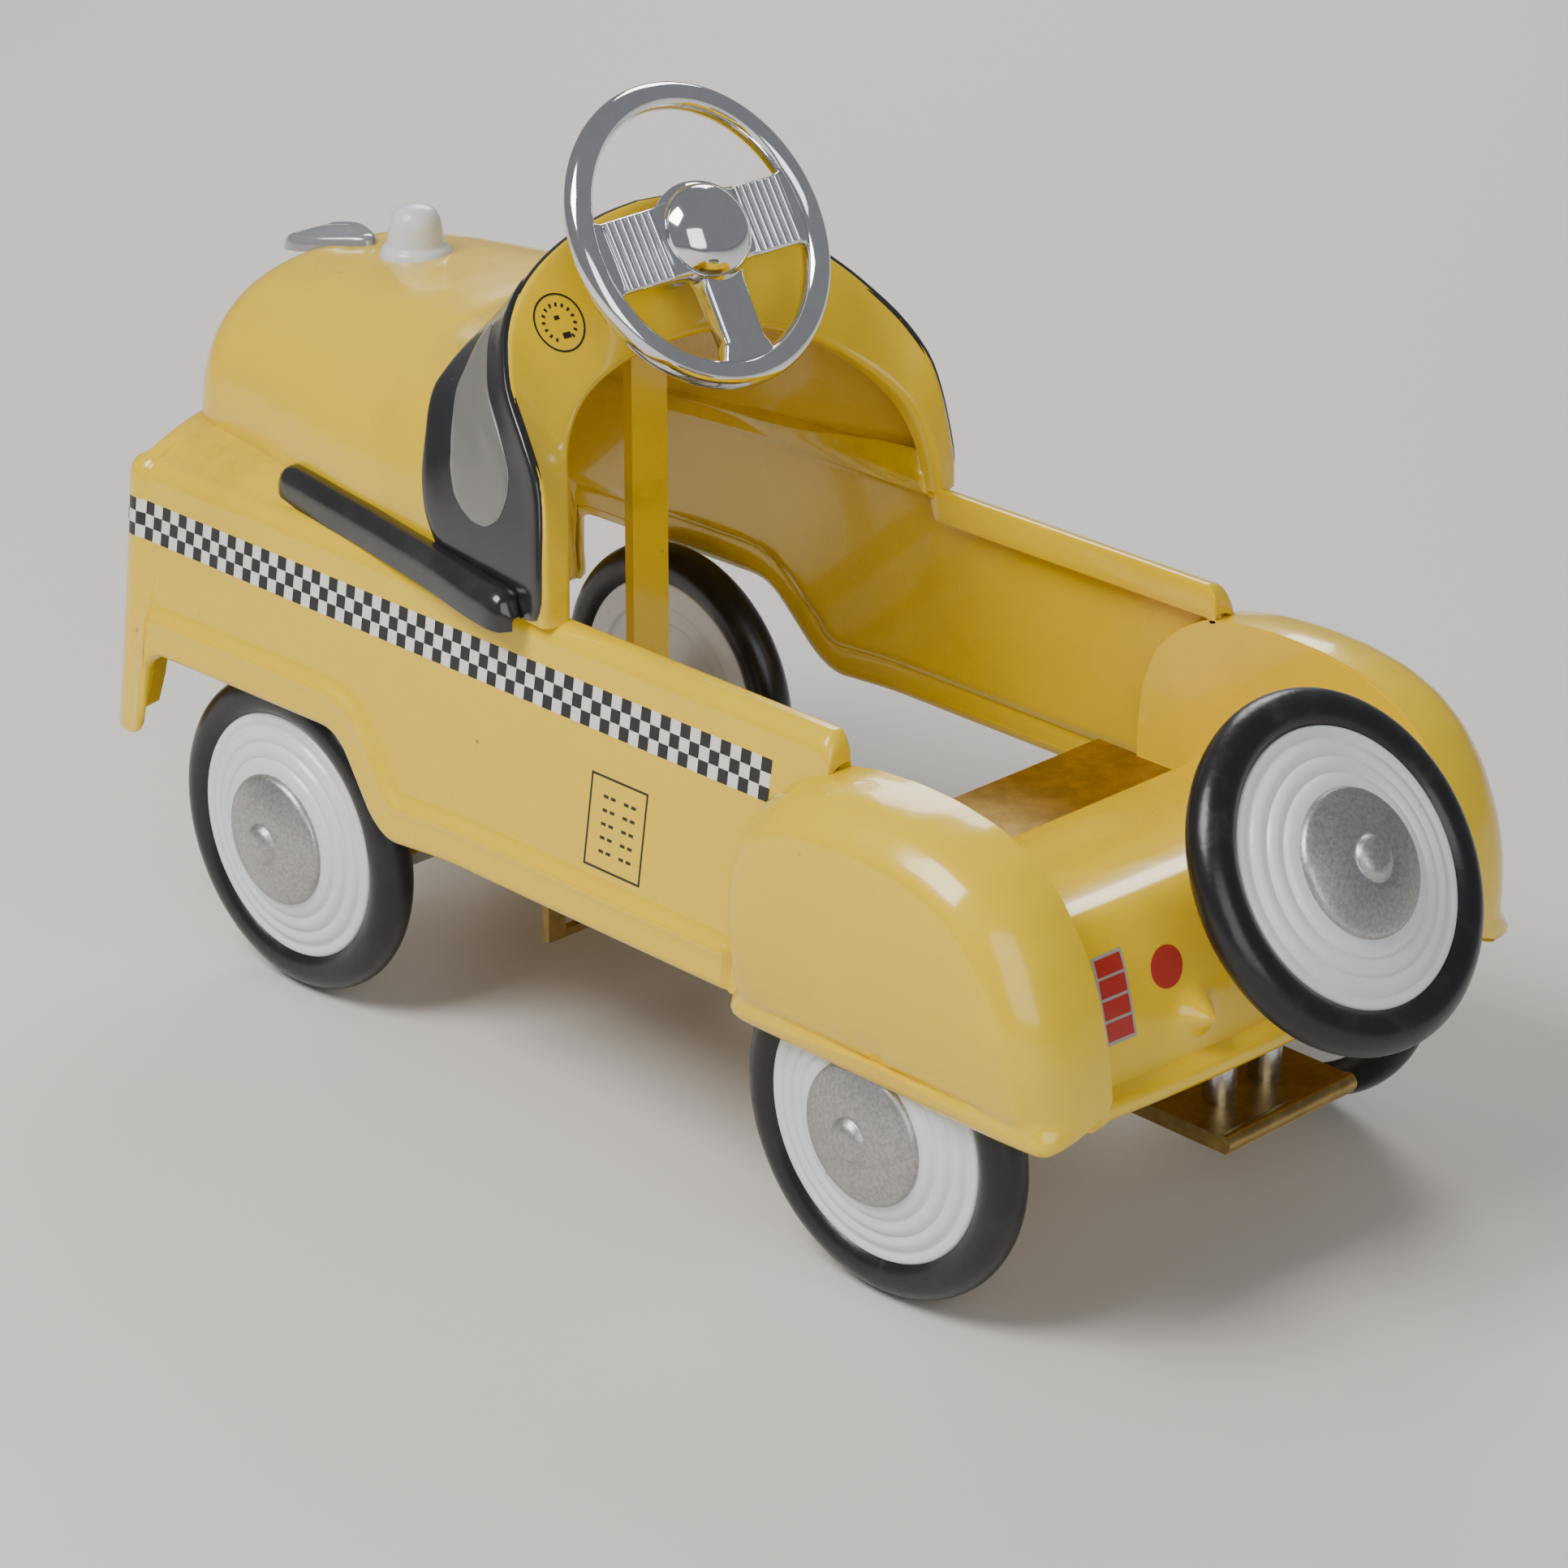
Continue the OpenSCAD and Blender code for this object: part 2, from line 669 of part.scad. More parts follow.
wheel_tyre(front_track_half, front_y, true);  // tyre_front_right
wheel_rim(front_track_half, front_y, true, shaft_r + fit);  // rim_front_right
wheel_cap(front_track_half, front_y, true);  // hubcap_front_right
crank_axle();
wheel_tyre(rear_track_half, rear_y, false);  // tyre_rear_left
wheel_rim(rear_track_half, rear_y, false, shaft_r);  // rim_rear_left
wheel_cap(rear_track_half, rear_y, false);  // hubcap_rear_left
wheel_tyre(rear_track_half, rear_y, true);  // tyre_rear_right
wheel_rim(rear_track_half, rear_y, true, shaft_r);  // rim_rear_right
wheel_cap(rear_track_half, rear_y, true);  // hubcap_rear_right
pedal_rod(1);  // pedal_rod_left
pedal_rod(-1);  // pedal_rod_right
pedal(1);  // pedal_left
pedal(-1);  // pedal_right
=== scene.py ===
"""A die-cast copy of a taxi pedal car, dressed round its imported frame."""
import json
import math

import bmesh
import bpy
from mathutils import Matrix, Vector
from mathutils.bvhtree import BVHTree


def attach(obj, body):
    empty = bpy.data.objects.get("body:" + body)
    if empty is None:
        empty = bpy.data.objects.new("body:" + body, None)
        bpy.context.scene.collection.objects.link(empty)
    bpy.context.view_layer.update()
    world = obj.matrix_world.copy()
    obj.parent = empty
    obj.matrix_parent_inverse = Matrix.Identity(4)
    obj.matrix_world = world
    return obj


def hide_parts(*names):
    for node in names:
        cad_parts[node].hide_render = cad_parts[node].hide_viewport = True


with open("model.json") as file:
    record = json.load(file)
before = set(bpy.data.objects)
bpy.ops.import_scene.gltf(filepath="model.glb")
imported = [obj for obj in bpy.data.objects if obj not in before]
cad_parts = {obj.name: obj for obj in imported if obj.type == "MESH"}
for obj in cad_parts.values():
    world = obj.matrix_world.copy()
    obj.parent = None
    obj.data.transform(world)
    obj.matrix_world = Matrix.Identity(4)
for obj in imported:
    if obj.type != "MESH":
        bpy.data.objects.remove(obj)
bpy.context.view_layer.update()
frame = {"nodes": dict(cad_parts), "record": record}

# ------------------------------------------------------------------------------------------
# Table, light and camera. A wide pale board in a softly lit room, with three large diffusing
# lamps: one high over the near side, one low on the tail's side and one past the nose for
# the edges. None of it belongs to the car.
# ------------------------------------------------------------------------------------------
floor_half, floor_drop = 3.0, 0.0002
bpy.ops.mesh.primitive_plane_add(size=2 * floor_half, location=(0, 0, -floor_drop))
floor = bpy.context.object
floor.name = "floor"
floor_paint = bpy.data.materials.new("pale_board")
floor_paint.use_nodes = True
board = floor_paint.node_tree.nodes["Principled BSDF"]
board.inputs["Base Color"].default_value = (0.72, 0.70, 0.67, 1)
board.inputs["Roughness"].default_value = 0.75
floor.data.materials.append(floor_paint)

room = bpy.data.worlds.new("room")
room.use_nodes = True
room.node_tree.nodes["Background"].inputs["Color"].default_value = (0.93, 0.95, 1.0, 1)
room.node_tree.nodes["Background"].inputs["Strength"].default_value = 0.25
bpy.context.scene.world = room


def lamp(name, place, aim, size, power, tint=(1.0, 0.98, 0.95)):
    """A square diffusing lamp at a place, facing the point it is aimed at."""
    light = bpy.data.lights.new(name, "AREA")
    light.shape = "SQUARE"
    light.size = size
    light.energy = power
    light.color = tint
    holder = bpy.data.objects.new(name, light)
    holder.location = place
    holder.rotation_euler = (Vector(aim) - Vector(place)).to_track_quat("-Z", "Y").to_euler()
    bpy.context.collection.objects.link(holder)


lamp("key", (0.42, -0.10, 0.62), (0, 0, 0.03), 0.34, 5.3)
lamp("fill", (0.35, 0.62, 0.35), (0, 0, 0.04), 0.50, 2.0, (0.95, 0.97, 1.0))
lamp("edge", (-0.45, -0.40, 0.45), (0, 0, 0.04), 0.30, 2.3)

camera_place = Vector((0.30958, 0.31394, 0.22549))
camera_yaw, camera_pitch, camera_roll = -2.345, -0.4193, 0.0022
look = Vector((
    math.cos(camera_pitch) * math.cos(camera_yaw),
    math.cos(camera_pitch) * math.sin(camera_yaw),
    math.sin(camera_pitch)))
side_way = look.cross(Vector((0, 0, 1))).normalized()
up_way = side_way.cross(look)
side_way, up_way = (
    math.cos(camera_roll) * side_way + math.sin(camera_roll) * up_way,
    math.cos(camera_roll) * up_way - math.sin(camera_roll) * side_way)
camera_data = bpy.data.cameras.new("camera")
camera_data.lens = 111.6
camera_data.sensor_width = 36
camera_data.clip_start = 0.01
camera = bpy.data.objects.new("camera", camera_data)
turn = Matrix((side_way, up_way, -look)).transposed().to_4x4()
camera.matrix_world = Matrix.Translation(camera_place) @ turn
bpy.context.collection.objects.link(camera)
bpy.context.scene.camera = camera

# ------------------------------------------------------------------------------------------
# Lower body. A zinc casting of the leaning sides, nose, front legs and pontoon tops, about
# 1.2 mm thick with soft cast edges, sprayed with gloss taxi enamel. Its lengths, and all those
# below, are in millimetres and are scaled as each mesh is made.
# ------------------------------------------------------------------------------------------
MM = 0.001
wall_t, wall_edge_r = 1.2, 0.18
wall_foot_x, wall_foot_z = 31.3, 24.5
wall_lean = math.tan(math.radians(8.3))
rim_z, shoulder_r = 52.0, 2.2
floor_edge_z = 22.8
rail_end_y, rail_end_r, rail_end_drop = 31.5, 1.4, 2.9
rail_inner_x = 24.9
notch_y, notch_length, notch_rise = 24.6, 2.9, 14.5
corner_r, corner_stretch, nose_bow = 5.0, 1.1, 2.6
leg_inner_x, leg_outer_x, nose_lift = 22.4, 23.9, 7.6
seam_inset, seam_rise = 0.9, 1.9
cowl_foot_y, dash_foot_y = -34.0, -8.0


def curve_through(points, t):
    """A smooth curve through any points; t runs 0 to 1 along their number."""
    last = len(points) - 1
    place = min(max(t, 0.0), 1.0) * last
    i = min(int(place), last - 1)
    f = place - i
    before, a = points[max(i - 1, 0)], points[i]
    b, after = points[i + 1], points[min(i + 2, last)]
    return tuple(
        0.5 * (2 * q + (r - p) * f + (2 * p - 5 * q + 4 * r - s) * f * f
               + (3 * q - p - 3 * r + s) * f ** 3)
        for p, q, r, s in zip(before, a, b, after))


def rounded(points, radius, steps=5):
    """The same run of points with each corner cut to a soft bend."""
    path = [points[0]]
    for before, at, after in zip(points, points[1:], points[2:]):
        at = Vector(at)
        back, on = Vector(before) - at, Vector(after) - at
        reach = min(radius, back.length * 0.48, on.length * 0.48)
        a, b = at + back.normalized() * reach, at + on.normalized() * reach
        for k in range(steps + 1):
            f = k / steps
            path.append(tuple(a * (1 - f) ** 2 + at * 2 * f * (1 - f) + b * f * f))
    path.append(points[-1])
    return path


def height_on(path, y):
    """Height of a run of (y, z) points at station y, where y only grows along it."""
    if y <= path[0][0]:
        return path[0][1]
    for (y0, z0), (y1, z1) in zip(path, path[1:]):
        if y0 <= y <= y1 and y1 > y0:
            return z0 + (z1 - z0) * (y - y0) / (y1 - y0)
    return path[-1][1]


def ease(a, b, v):
    """0 below a, 1 above b and smooth between."""
    f = min(max((v - a) / (b - a), 0.0), 1.0)
    return f * f * (3 - 2 * f)


def skin(name, columns, flip=False, loop=False, join=0.004):
    """A sheet of faces over columns of points in millimetres."""
    mesh = bpy.data.meshes.new(name)
    build = bmesh.new()
    net = [[build.verts.new(Vector(p) * MM) for p in column] for column in columns]
    pairs = list(zip(net, net[1:])) + ([(net[-1], net[0])] if loop else [])
    for left, right in pairs:
        for k in range(len(left) - 1):
            face = [left[k], right[k], right[k + 1], left[k + 1]]
            build.faces.new(face[::-1] if flip else face)
    bmesh.ops.remove_doubles(build, verts=build.verts, dist=join * MM)
    bmesh.ops.dissolve_degenerate(build, dist=1e-7, edges=build.edges)
    build.to_mesh(mesh)
    build.free()
    piece = bpy.data.objects.new(name, mesh)
    bpy.context.collection.objects.link(piece)
    return piece


def settle(piece, crease=38.0):
    """Makes a piece plain closed mesh, and smooths it up to a crease angle."""
    ready = piece.evaluated_get(bpy.context.evaluated_depsgraph_get())
    mesh = bpy.data.meshes.new_from_object(ready)
    piece.modifiers.clear()
    piece.data = mesh
    build = bmesh.new()
    build.from_mesh(mesh)
    bmesh.ops.holes_fill(build, edges=[e for e in build.edges if e.is_boundary], sides=0)
    build.to_mesh(mesh)
    build.free()
    mesh.polygons.foreach_set("use_smooth", [True] * len(mesh.polygons))
    mesh.set_sharp_from_angle(angle=math.radians(crease))
    return piece


def thicken(piece, thickness, edge=0.0, crease=38.0):
    """Gives a sheet its wall, measured inwards, with rounded raw edges."""
    walls = piece.modifiers.new("wall", "SOLIDIFY")
    walls.thickness = thickness * MM
    walls.offset = -1
    walls.use_even_offset = False
    if edge:
        soft = piece.modifiers.new("edge", "BEVEL")
        soft.width = edge * MM
        soft.segments = 2
        soft.limit_method = "ANGLE"
        soft.angle_limit = math.radians(50)
    return settle(piece, crease)


# Foot of the side wall, from the front leg over the wheel arch and back along the sill
foot_path = rounded([
    (-76, floor_edge_z), (-67.7, floor_edge_z), (-66.7, 23.8), (-66.1, 32.1), (-35.6, 32.6), (-29.3, 25.4),
    (-26.6, 23.9), (-18, 24.6), (23.5, 24.6)], 2.6)


def from_foot(y, z):
    """Shortest way from a point of the wall to the wall's foot."""
    best = 99.0
    for (y0, z0), (y1, z1) in zip(foot_path, foot_path[1:]):
        if abs(0.5 * (y0 + y1) - y) > 12 + abs(y1 - y0):
            continue
        run = (y1 - y0) ** 2 + (z1 - z0) ** 2
        if run < 1e-9:
            continue
        f = min(max(((y - y0) * (y1 - y0) + (z - z0) * (z1 - z0)) / run, 0.0), 1.0)
        best = min(best, math.hypot(y - y0 - f * (y1 - y0), z - z0 - f * (z1 - z0)))
    return best


def flare(d):
    """The rolled band along the foot stands out by this much at distance d from it."""
    roll = -0.35 + 0.95 * math.sqrt(max(0.0, 1 - (1 - min(d / 1.1, 1.0)) ** 2))
    ridge = 0.22 * math.exp(-((d - 3.7) / 0.55) ** 2)
    return roll * (1 - ease(4.0, 5.0, d)) + ridge


def wall_x(z):
    """Where the plain side wall's outer face is at a height."""
    return wall_foot_x - (z - wall_foot_z) * wall_lean


# Hood: half width at its foot and height of its ridge, along the car
hood_foot_z = 52.6
hood_half = [(-68, 19.6), (-60, 20.8), (-54, 21.9), (-48, 23.0), (-40, 24.2), (-34, 25.0)]
hood_ridge = [(-68, 69.6), (-60, 70.6), (-54, 71.0), (-48, 71.4), (-40, 71.9), (-34, 72.0)]
nose_pole_y = -66.0
nose_reach = 10.8
hood_square = 0.72


def hood_point(y, rise, way=0.0):
    """A point of the hood: rise 0 at its foot to 1 at its ridge; way turns it round the nose."""
    half, top = height_on(hood_half, y), height_on(hood_ridge, y)
    a, b = math.radians(90 * rise), math.radians(90 * way)
    square = hood_square + 0.16 * way
    spread = max(math.cos(a), 0.0) ** square
    return (
        half * max(math.cos(b), 0.0) ** 0.9 * spread,
        y - nose_reach * math.sin(b) ** 0.9 * spread,
        hood_foot_z + (top - hood_foot_z) * math.sin(a) ** square)


band_heights = (0, 0.25, 0.55, 0.9, 1.4, 2.1, 2.8, 3.2, 3.5, 3.8, 4.1, 4.5, 5.0, 5.6)
rail_bead = [
    (0.25, 0.0), (0.55, 0.0), (0.8, -0.05), (0.93, -0.25), (1.0, -0.8), (1.0, -2.2), (1.0, -3.4)]


def side_columns():
    """Columns of the near side, from the cockpit notch to the middle of the nose."""
    columns = []
    stations = [rail_end_y - 0.15 * k for k in range(12)]
    stations += [29.6 - 0.75 * k for k in range(112)]
    stations = [y for y in stations if y > -53.9]
    stations += [-54 - 0.45 * k for k in range(33)]
    corner_y = stations[-1]
    plan = [((wall_foot_x, y), (1.0, 0.0), wall_lean, y) for y in stations]
    for k in range(1, 13):
        a = math.radians(90 * k / 12)
        base = (wall_foot_x - corner_r * (1 - math.cos(a)),
                corner_y - corner_r * corner_stretch * math.sin(a))
        lean = wall_lean * (1 - 0.6 * k / 12)
        plan.append((base, (math.cos(a), -math.sin(a)), lean, None))
    end_x, end_y = plan[-1][0]
    for k in range(1, 27):
        x = end_x * (1 - k / 26)
        base = (x, end_y - nose_bow * (1 - (x / end_x) ** 2))
        slope = math.atan2(2 * nose_bow * x / end_x ** 2, 1)
        plan.append((base, (math.sin(slope), -math.cos(slope)), wall_lean * 0.4, None))
    turned = [k for k, p in enumerate(plan) if p[3] is None or p[3] < nose_pole_y]
    for k, ((bx, by), (nx, ny), lean, y) in enumerate(plan):
        if y is None:
            foot = floor_edge_z + nose_lift * (1 - ease(leg_inner_x, leg_outer_x, bx))
        else:
            foot = height_on(foot_path, y) + notch_rise * ease(notch_y, notch_y + notch_length, y)
        crest = rim_z - shoulder_r
        past = (y - rail_end_y) / rail_end_r + 1 if y is not None else 0.0
        if past > 0:
            crest -= rail_end_drop * (1 - math.sqrt(max(0.0, 1 - past ** 2)))
        heights = [foot + h for h in band_heights]
        heights += [heights[-1] + (crest - heights[-1]) * (j / 12) for j in range(1, 13)]
        column = []
        for z in heights:
            d = from_foot(y, z) if y is not None else z - foot
            out = flare(d) * ease(-68.4, -66.9, y) if y is not None and y < 22 else 0.0
            shift = out - (z - wall_foot_z) * lean
            column.append((bx + nx * shift, by + ny * shift, z))
        top_x = bx - nx * (crest - wall_foot_z) * lean
        top_y = by - ny * (crest - wall_foot_z) * lean
        for j in range(1, 7):
            a = math.radians(15 * j)
            inwards = shoulder_r * (1 - math.cos(a))
            up = shoulder_r * math.sin(a)
            column.append((top_x - nx * inwards, top_y - ny * inwards, crest + up))
        edge = Vector(column[-1])
        if k in turned:
            way = (k - turned[0]) / (len(turned) - 1)
            goal = Vector(hood_point(nose_pole_y, 0.0, way))
        else:
            goal = Vector(hood_point(max(min(y, cowl_foot_y), nose_pole_y), 0.0))
            if y > cowl_foot_y:
                goal.x = 25.0 + 2.4 * ease(cowl_foot_y, dash_foot_y, y)
            goal.y = y
        goal += Vector((0, 0, seam_rise)) - Vector((nx, ny, 0)) * seam_inset
        cockpit = ease(dash_foot_y - 2, dash_foot_y + 2, y) if y is not None else 0.0
        inner = edge.x - rail_inner_x
        for j, (f, drop) in enumerate(rail_bead):
            g = (j + 1) / len(rail_bead)
            lid = edge.lerp(goal, g)
            lid.z = edge.z + (goal.z - edge.z) * (1.6 * g - 0.6 * g * g)
            bead = edge + Vector((-f * inner, 0, drop))
            column.append(tuple(lid.lerp(bead, cockpit)))
        columns.append(column)
    return columns


near_side = side_columns()
far_side = [[(-x, y, z) for x, y, z in column] for column in near_side[::-1]]
lower_body = skin("lower_body", near_side + far_side, flip=True)
thicken(lower_body, wall_t, wall_edge_r)


def feed(tree, socket, value):
    """Sets a socket to a plain value, or links another socket into it."""
    if hasattr(value, "is_linked"):
        tree.links.new(value, socket)
    else:
        socket.default_value = value


def math_node(tree, op, *values):
    """A maths node fed with numbers or sockets; gives back its output."""
    node = tree.nodes.new("ShaderNodeMath")
    node.operation = op
    for socket, value in zip(node.inputs, values):
        feed(tree, socket, value)
    return node.outputs[0]


def noise(tree, place, scale, detail=3.0, rough=0.55):
    """Noise over a position at a scale per metre."""
    node = tree.nodes.new("ShaderNodeTexNoise")
    feed(tree, node.inputs["Scale"], scale)
    node.inputs["Detail"].default_value = detail
    node.inputs["Roughness"].default_value = rough
    tree.links.new(place, node.inputs["Vector"])
    return node.outputs["Fac"]


def step_up(tree, value, low, high):
    """0 below low and 1 above high, smooth between."""
    node = tree.nodes.new("ShaderNodeMapRange")
    node.interpolation_type = "SMOOTHSTEP"
    node.inputs["From Min"].default_value = low
    node.inputs["From Max"].default_value = high
    tree.links.new(value, node.inputs["Value"])
    return node.outputs["Result"]


def new_group(name, inputs, outputs):
    """A shader group with float or vector inputs and float outputs."""
    tree = bpy.data.node_groups.new(name, "ShaderNodeTree")
    for label, kind in inputs:
        tree.interface.new_socket(label, in_out="INPUT", socket_type=kind)
    for label in outputs:
        tree.interface.new_socket(label, in_out="OUTPUT", socket_type="NodeSocketFloat")
    return tree, tree.nodes.new("NodeGroupInput"), tree.nodes.new("NodeGroupOutput")


coat, coat_in, coat_out = new_group(
    "sprayed_coat", [("Position", "NodeSocketVector")], ["Ripple", "Specks", "Grime_And_Seam_Shade", "Dulling"])
coat_place = coat_in.outputs["Position"]
ripple = math_node(coat, "ADD", noise(coat, coat_place, 170.0, 1.0),
                   math_node(coat, "MULTIPLY", noise(coat, coat_place, 900.0, 2.0), 0.15))
coat.links.new(ripple, coat_out.inputs["Ripple"])
speck_field = coat.nodes.new("ShaderNodeTexVoronoi")
speck_field.inputs["Scale"].default_value = 240.0
speck_field.inputs["Randomness"].default_value = 1.0
coat.links.new(coat_place, speck_field.inputs["Vector"])
near_speck = math_node(coat, "SUBTRACT", 1.0, step_up(coat, speck_field.outputs["Distance"], 0.035, 0.075))
speck_pick = step_up(coat, noise(coat, coat_place, 95.0, 2.0), 0.56, 0.60)
coat.links.new(math_node(coat, "MULTIPLY", near_speck, speck_pick), coat_out.inputs["Specks"])
# Painted shade: a dark band about 53.6 mm up, where the hood's foot meets the lower body, broken up by noise.
# Random grime clouds are added to it in the same output.
split = coat.nodes.new("ShaderNodeSeparateXYZ")
coat.links.new(coat_place, split.inputs[0])
seam_shade_gap = math_node(coat, "ABSOLUTE", math_node(coat, "SUBTRACT", split.outputs["Z"], 0.0536))
seam_shade = math_node(coat, "SUBTRACT", 1.0, step_up(coat, seam_shade_gap, 0.0002, 0.0026))
blot = step_up(coat, noise(coat, coat_place, 130.0, 5.0, 0.65), 0.42, 0.74)
cloud = math_node(coat, "MULTIPLY", step_up(coat, noise(coat, coat_place, 38.0, 4.0, 0.6), 0.45, 0.8), 0.5)
coat.links.new(
    math_node(coat, "MINIMUM", math_node(coat, "ADD", math_node(coat, "MULTIPLY", seam_shade, blot), cloud), 1.0),
    coat_out.inputs["Grime_And_Seam_Shade"])
coat.links.new(step_up(coat, noise(coat, coat_place, 60.0, 5.0, 0.6), 0.4, 0.75), coat_out.inputs["Dulling"])


def enamel(name, color, dirt_and_shade, rough, metallic=0.0, dirt_and_shade_amount=0.35, wave=0.25, clear=0.5):
    """A sprayed enamel of one colour, with grime clouds, dust specks and painted shade along the hood's foot
    seam.
    """
    material = bpy.data.materials.new(name)
    material.use_nodes = True
    tree = material.node_tree
    shader = tree.nodes["Principled BSDF"]
    place = tree.nodes.new("ShaderNodeTexCoord").outputs["Object"]
    effect = tree.nodes.new("ShaderNodeGroup")
    effect.node_tree = coat
    tree.links.new(place, effect.inputs["Position"])
    shade = tree.nodes.new("ShaderNodeMix")
    shade.data_type = "RGBA"
    shade.inputs["A"].default_value = (*color, 1)
    shade.inputs["B"].default_value = (*dirt_and_shade, 1)
    # The mix towards the dirt colour carries painted shade along the hood's foot seam as well as grime clouds
    # and dust specks.
    soil_and_seam_shade = math_node(tree, "MULTIPLY", effect.outputs["Grime_And_Seam_Shade"], dirt_and_shade_amount)
    soil_and_seam_shade = math_node(tree, "MAXIMUM", soil_and_seam_shade, math_node(tree, "MULTIPLY", effect.outputs["Specks"], 0.7))
    tree.links.new(soil_and_seam_shade, shade.inputs["Factor"])
    tree.links.new(shade.outputs["Result"], shader.inputs["Base Color"])
    dull = math_node(tree, "MULTIPLY", effect.outputs["Dulling"], 0.10)
    dull = math_node(tree, "ADD", dull, math_node(tree, "MULTIPLY", soil_and_seam_shade, 0.25))
    tree.links.new(math_node(tree, "ADD", dull, rough), shader.inputs["Roughness"])
    bump = tree.nodes.new("ShaderNodeBump")
    bump.inputs["Strength"].default_value = wave
    bump.inputs["Distance"].default_value = 0.0004
    tree.links.new(effect.outputs["Ripple"], bump.inputs["Height"])
    tree.links.new(bump.outputs["Normal"], shader.inputs["Normal"])
    shader.inputs["Metallic"].default_value = metallic
    shader.inputs["Coat Weight"].default_value = clear
    shader.inputs["Coat Roughness"].default_value = 0.06
    return material


yellow = enamel("taxi_enamel", (0.83, 0.55, 0.002), (0.16, 0.10, 0.02), 0.22)


def dress(piece, body, slot, material, *nodes):
    """Gives a piece its finish, its CAD body and the nodes it stands for; the slot argument is not used."""
    if material is not None:
        piece.data.materials.clear()
        piece.data.materials.append(material)
    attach(piece, body)
    if nodes:
        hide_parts(*nodes)


dress(lower_body, "body", "yellow_enamel", yellow, "side_left", "side_right", "nose_panel",
      "pontoon_left", "pontoon_right", "cockpit_rim_left", "cockpit_rim_right")


# ------------------------------------------------------------------------------------------
# Hood, cowl and dash. The upper casting, joined to the lower body: a rounded hood that flares
# at its back into a leaning lip, folds over it and comes down inside as the dash, with a
# rolled edge round the knee opening.
# ------------------------------------------------------------------------------------------
shell_t = 1.1
cowl_start_y = -38.0
lip_start, lip_round, dash_tuck = 0.972, 1.0, 2.2
lip_line = [
    (28.2, -6.3, 51.6), (28.2, -6.4, 54.5), (27.8, -6.8, 58), (27.1, -7.4, 62), (26.4, -8.6, 65.5),
    (25.4, -11.6, 69), (23.9, -15.2, 72), (22.2, -17.6, 74.2), (20, -20, 76.4), (17.3, -21.6, 78.7),
    (14, -22.6, 80.7), (10, -23, 82.5), (5, -23.2, 83.9), (0, -23.2, 84.4)]
opening_line = [
    (24.8, -5.6, 51.6), (24.5, -5.9, 54.5), (23.9, -6.6, 57.6), (22.9, -7.8, 60.6), (21.2, -9.6, 63.4),
    (19, -12, 65.8), (16, -14, 67.9), (12.5, -15.4, 69.4), (8, -16.3, 70.5), (4, -16.6, 71.0),
    (0, -16.7, 71.2)]


def cowl_point(t, s):
    """A point of the cowl: t 0 to 1 from foot to ridge, s 0 to 1 from the hood to the lip."""
    near = Vector(hood_point(cowl_start_y, t))
    far = Vector(curve_through(lip_line, t))
    near.z -= 1.0 * (1 - ease(0, 0.08, t))
    bend = 1 + 0.95 * ease(0.25, 0.75, t)
    return Vector((
        near.x + (far.x - near.x) * s ** (1 + 0.3 * ease(0.3, 0.8, t)),
        near.y + (far.y - near.y) * s,
        near.z + (far.z - near.z) * s ** bend))


def hood_sections():
    """Sections of the near half, foot to ridge, from the nose back and over the lip."""
    rises = [k / 44 for k in range(45)]
    sections = []
    for k in range(15):
        way = 1 - (k / 14) ** 1.15
        sections.append([hood_point(nose_pole_y, r, way) for r in rises])
    for k in range(1, 23):
        y = nose_pole_y + (cowl_start_y - nose_pole_y) * k / 22
        sections.append([hood_point(y, r) for r in rises])
    for section in sections:
        foot = section[0]
        section[0] = (foot[0], foot[1], foot[2] - 1.0)
    for k in range(1, 20):
        s = lip_start * k / 19
        sections.append([tuple(cowl_point(t, s)) for t in rises])
    roll, face = [], []
    for t in rises:
        lip, opening = Vector(curve_through(lip_line, t)), Vector(curve_through(opening_line, t))
        start = cowl_point(t, lip_start)
        across = (opening - lip).normalized()
        bend_end = lip + across * lip_round
        roll.append([start * (1 - f) ** 2 + lip * 2 * f * (1 - f) + bend_end * f * f
                     for f in (0.2, 0.4, 0.6, 0.8, 1.0)])
        dash_end = opening - across * shell_t
        run = [bend_end.lerp(dash_end, (j + 1) / 9) for j in range(9)]
        tuck = opening + Vector((0, -dash_tuck, -0.5 * t))
        run += [dash_end * (1 - f) ** 2 + opening * 2 * f * (1 - f) + tuck * f * f
                for f in (0.2, 0.4, 0.6, 0.8, 1.0)]
        face.append(run)
    sections += [[tuple(p[j]) for p in roll] for j in range(5)]
    sections += [[tuple(p[j]) for p in face] for j in range(14)]
    return sections


hood_net = [half + [(-x, y, z) for x, y, z in half[-2::-1]] for half in hood_sections()]
hood_cowl = skin("hood_and_cowl", hood_net)
thicken(hood_cowl, shell_t)
dress(hood_cowl, "body", "yellow_enamel", yellow, "hood", "cowl", "dash_panel")


# ------------------------------------------------------------------------------------------
# Rear fenders. Deep rounded zinc shells cast with the sides, each about 8 mm proud with a
# faint raised line just inside its edge. A flat cast wall closes the wheel's well inside.
# ------------------------------------------------------------------------------------------
fender_line = [
    (24.2, 22.9), (22.6, 24.2), (22.0, 27), (22.0, 35), (22.5, 39.5), (24, 43.4), (26.6, 46.2),
    (30, 48.3), (35, 49.3), (40, 49.6), (45, 49.4), (50, 48.5), (54, 46.9), (57.4, 44.3), (60.3, 40.4),
    (62.3, 36), (63.6, 31), (64.1, 27), (64.0, 24.4), (62.8, 23.0), (58, 22.8), (50, 22.8), (41, 22.8),
    (32, 22.8)]
fender_middle = (43.0, 25.5)


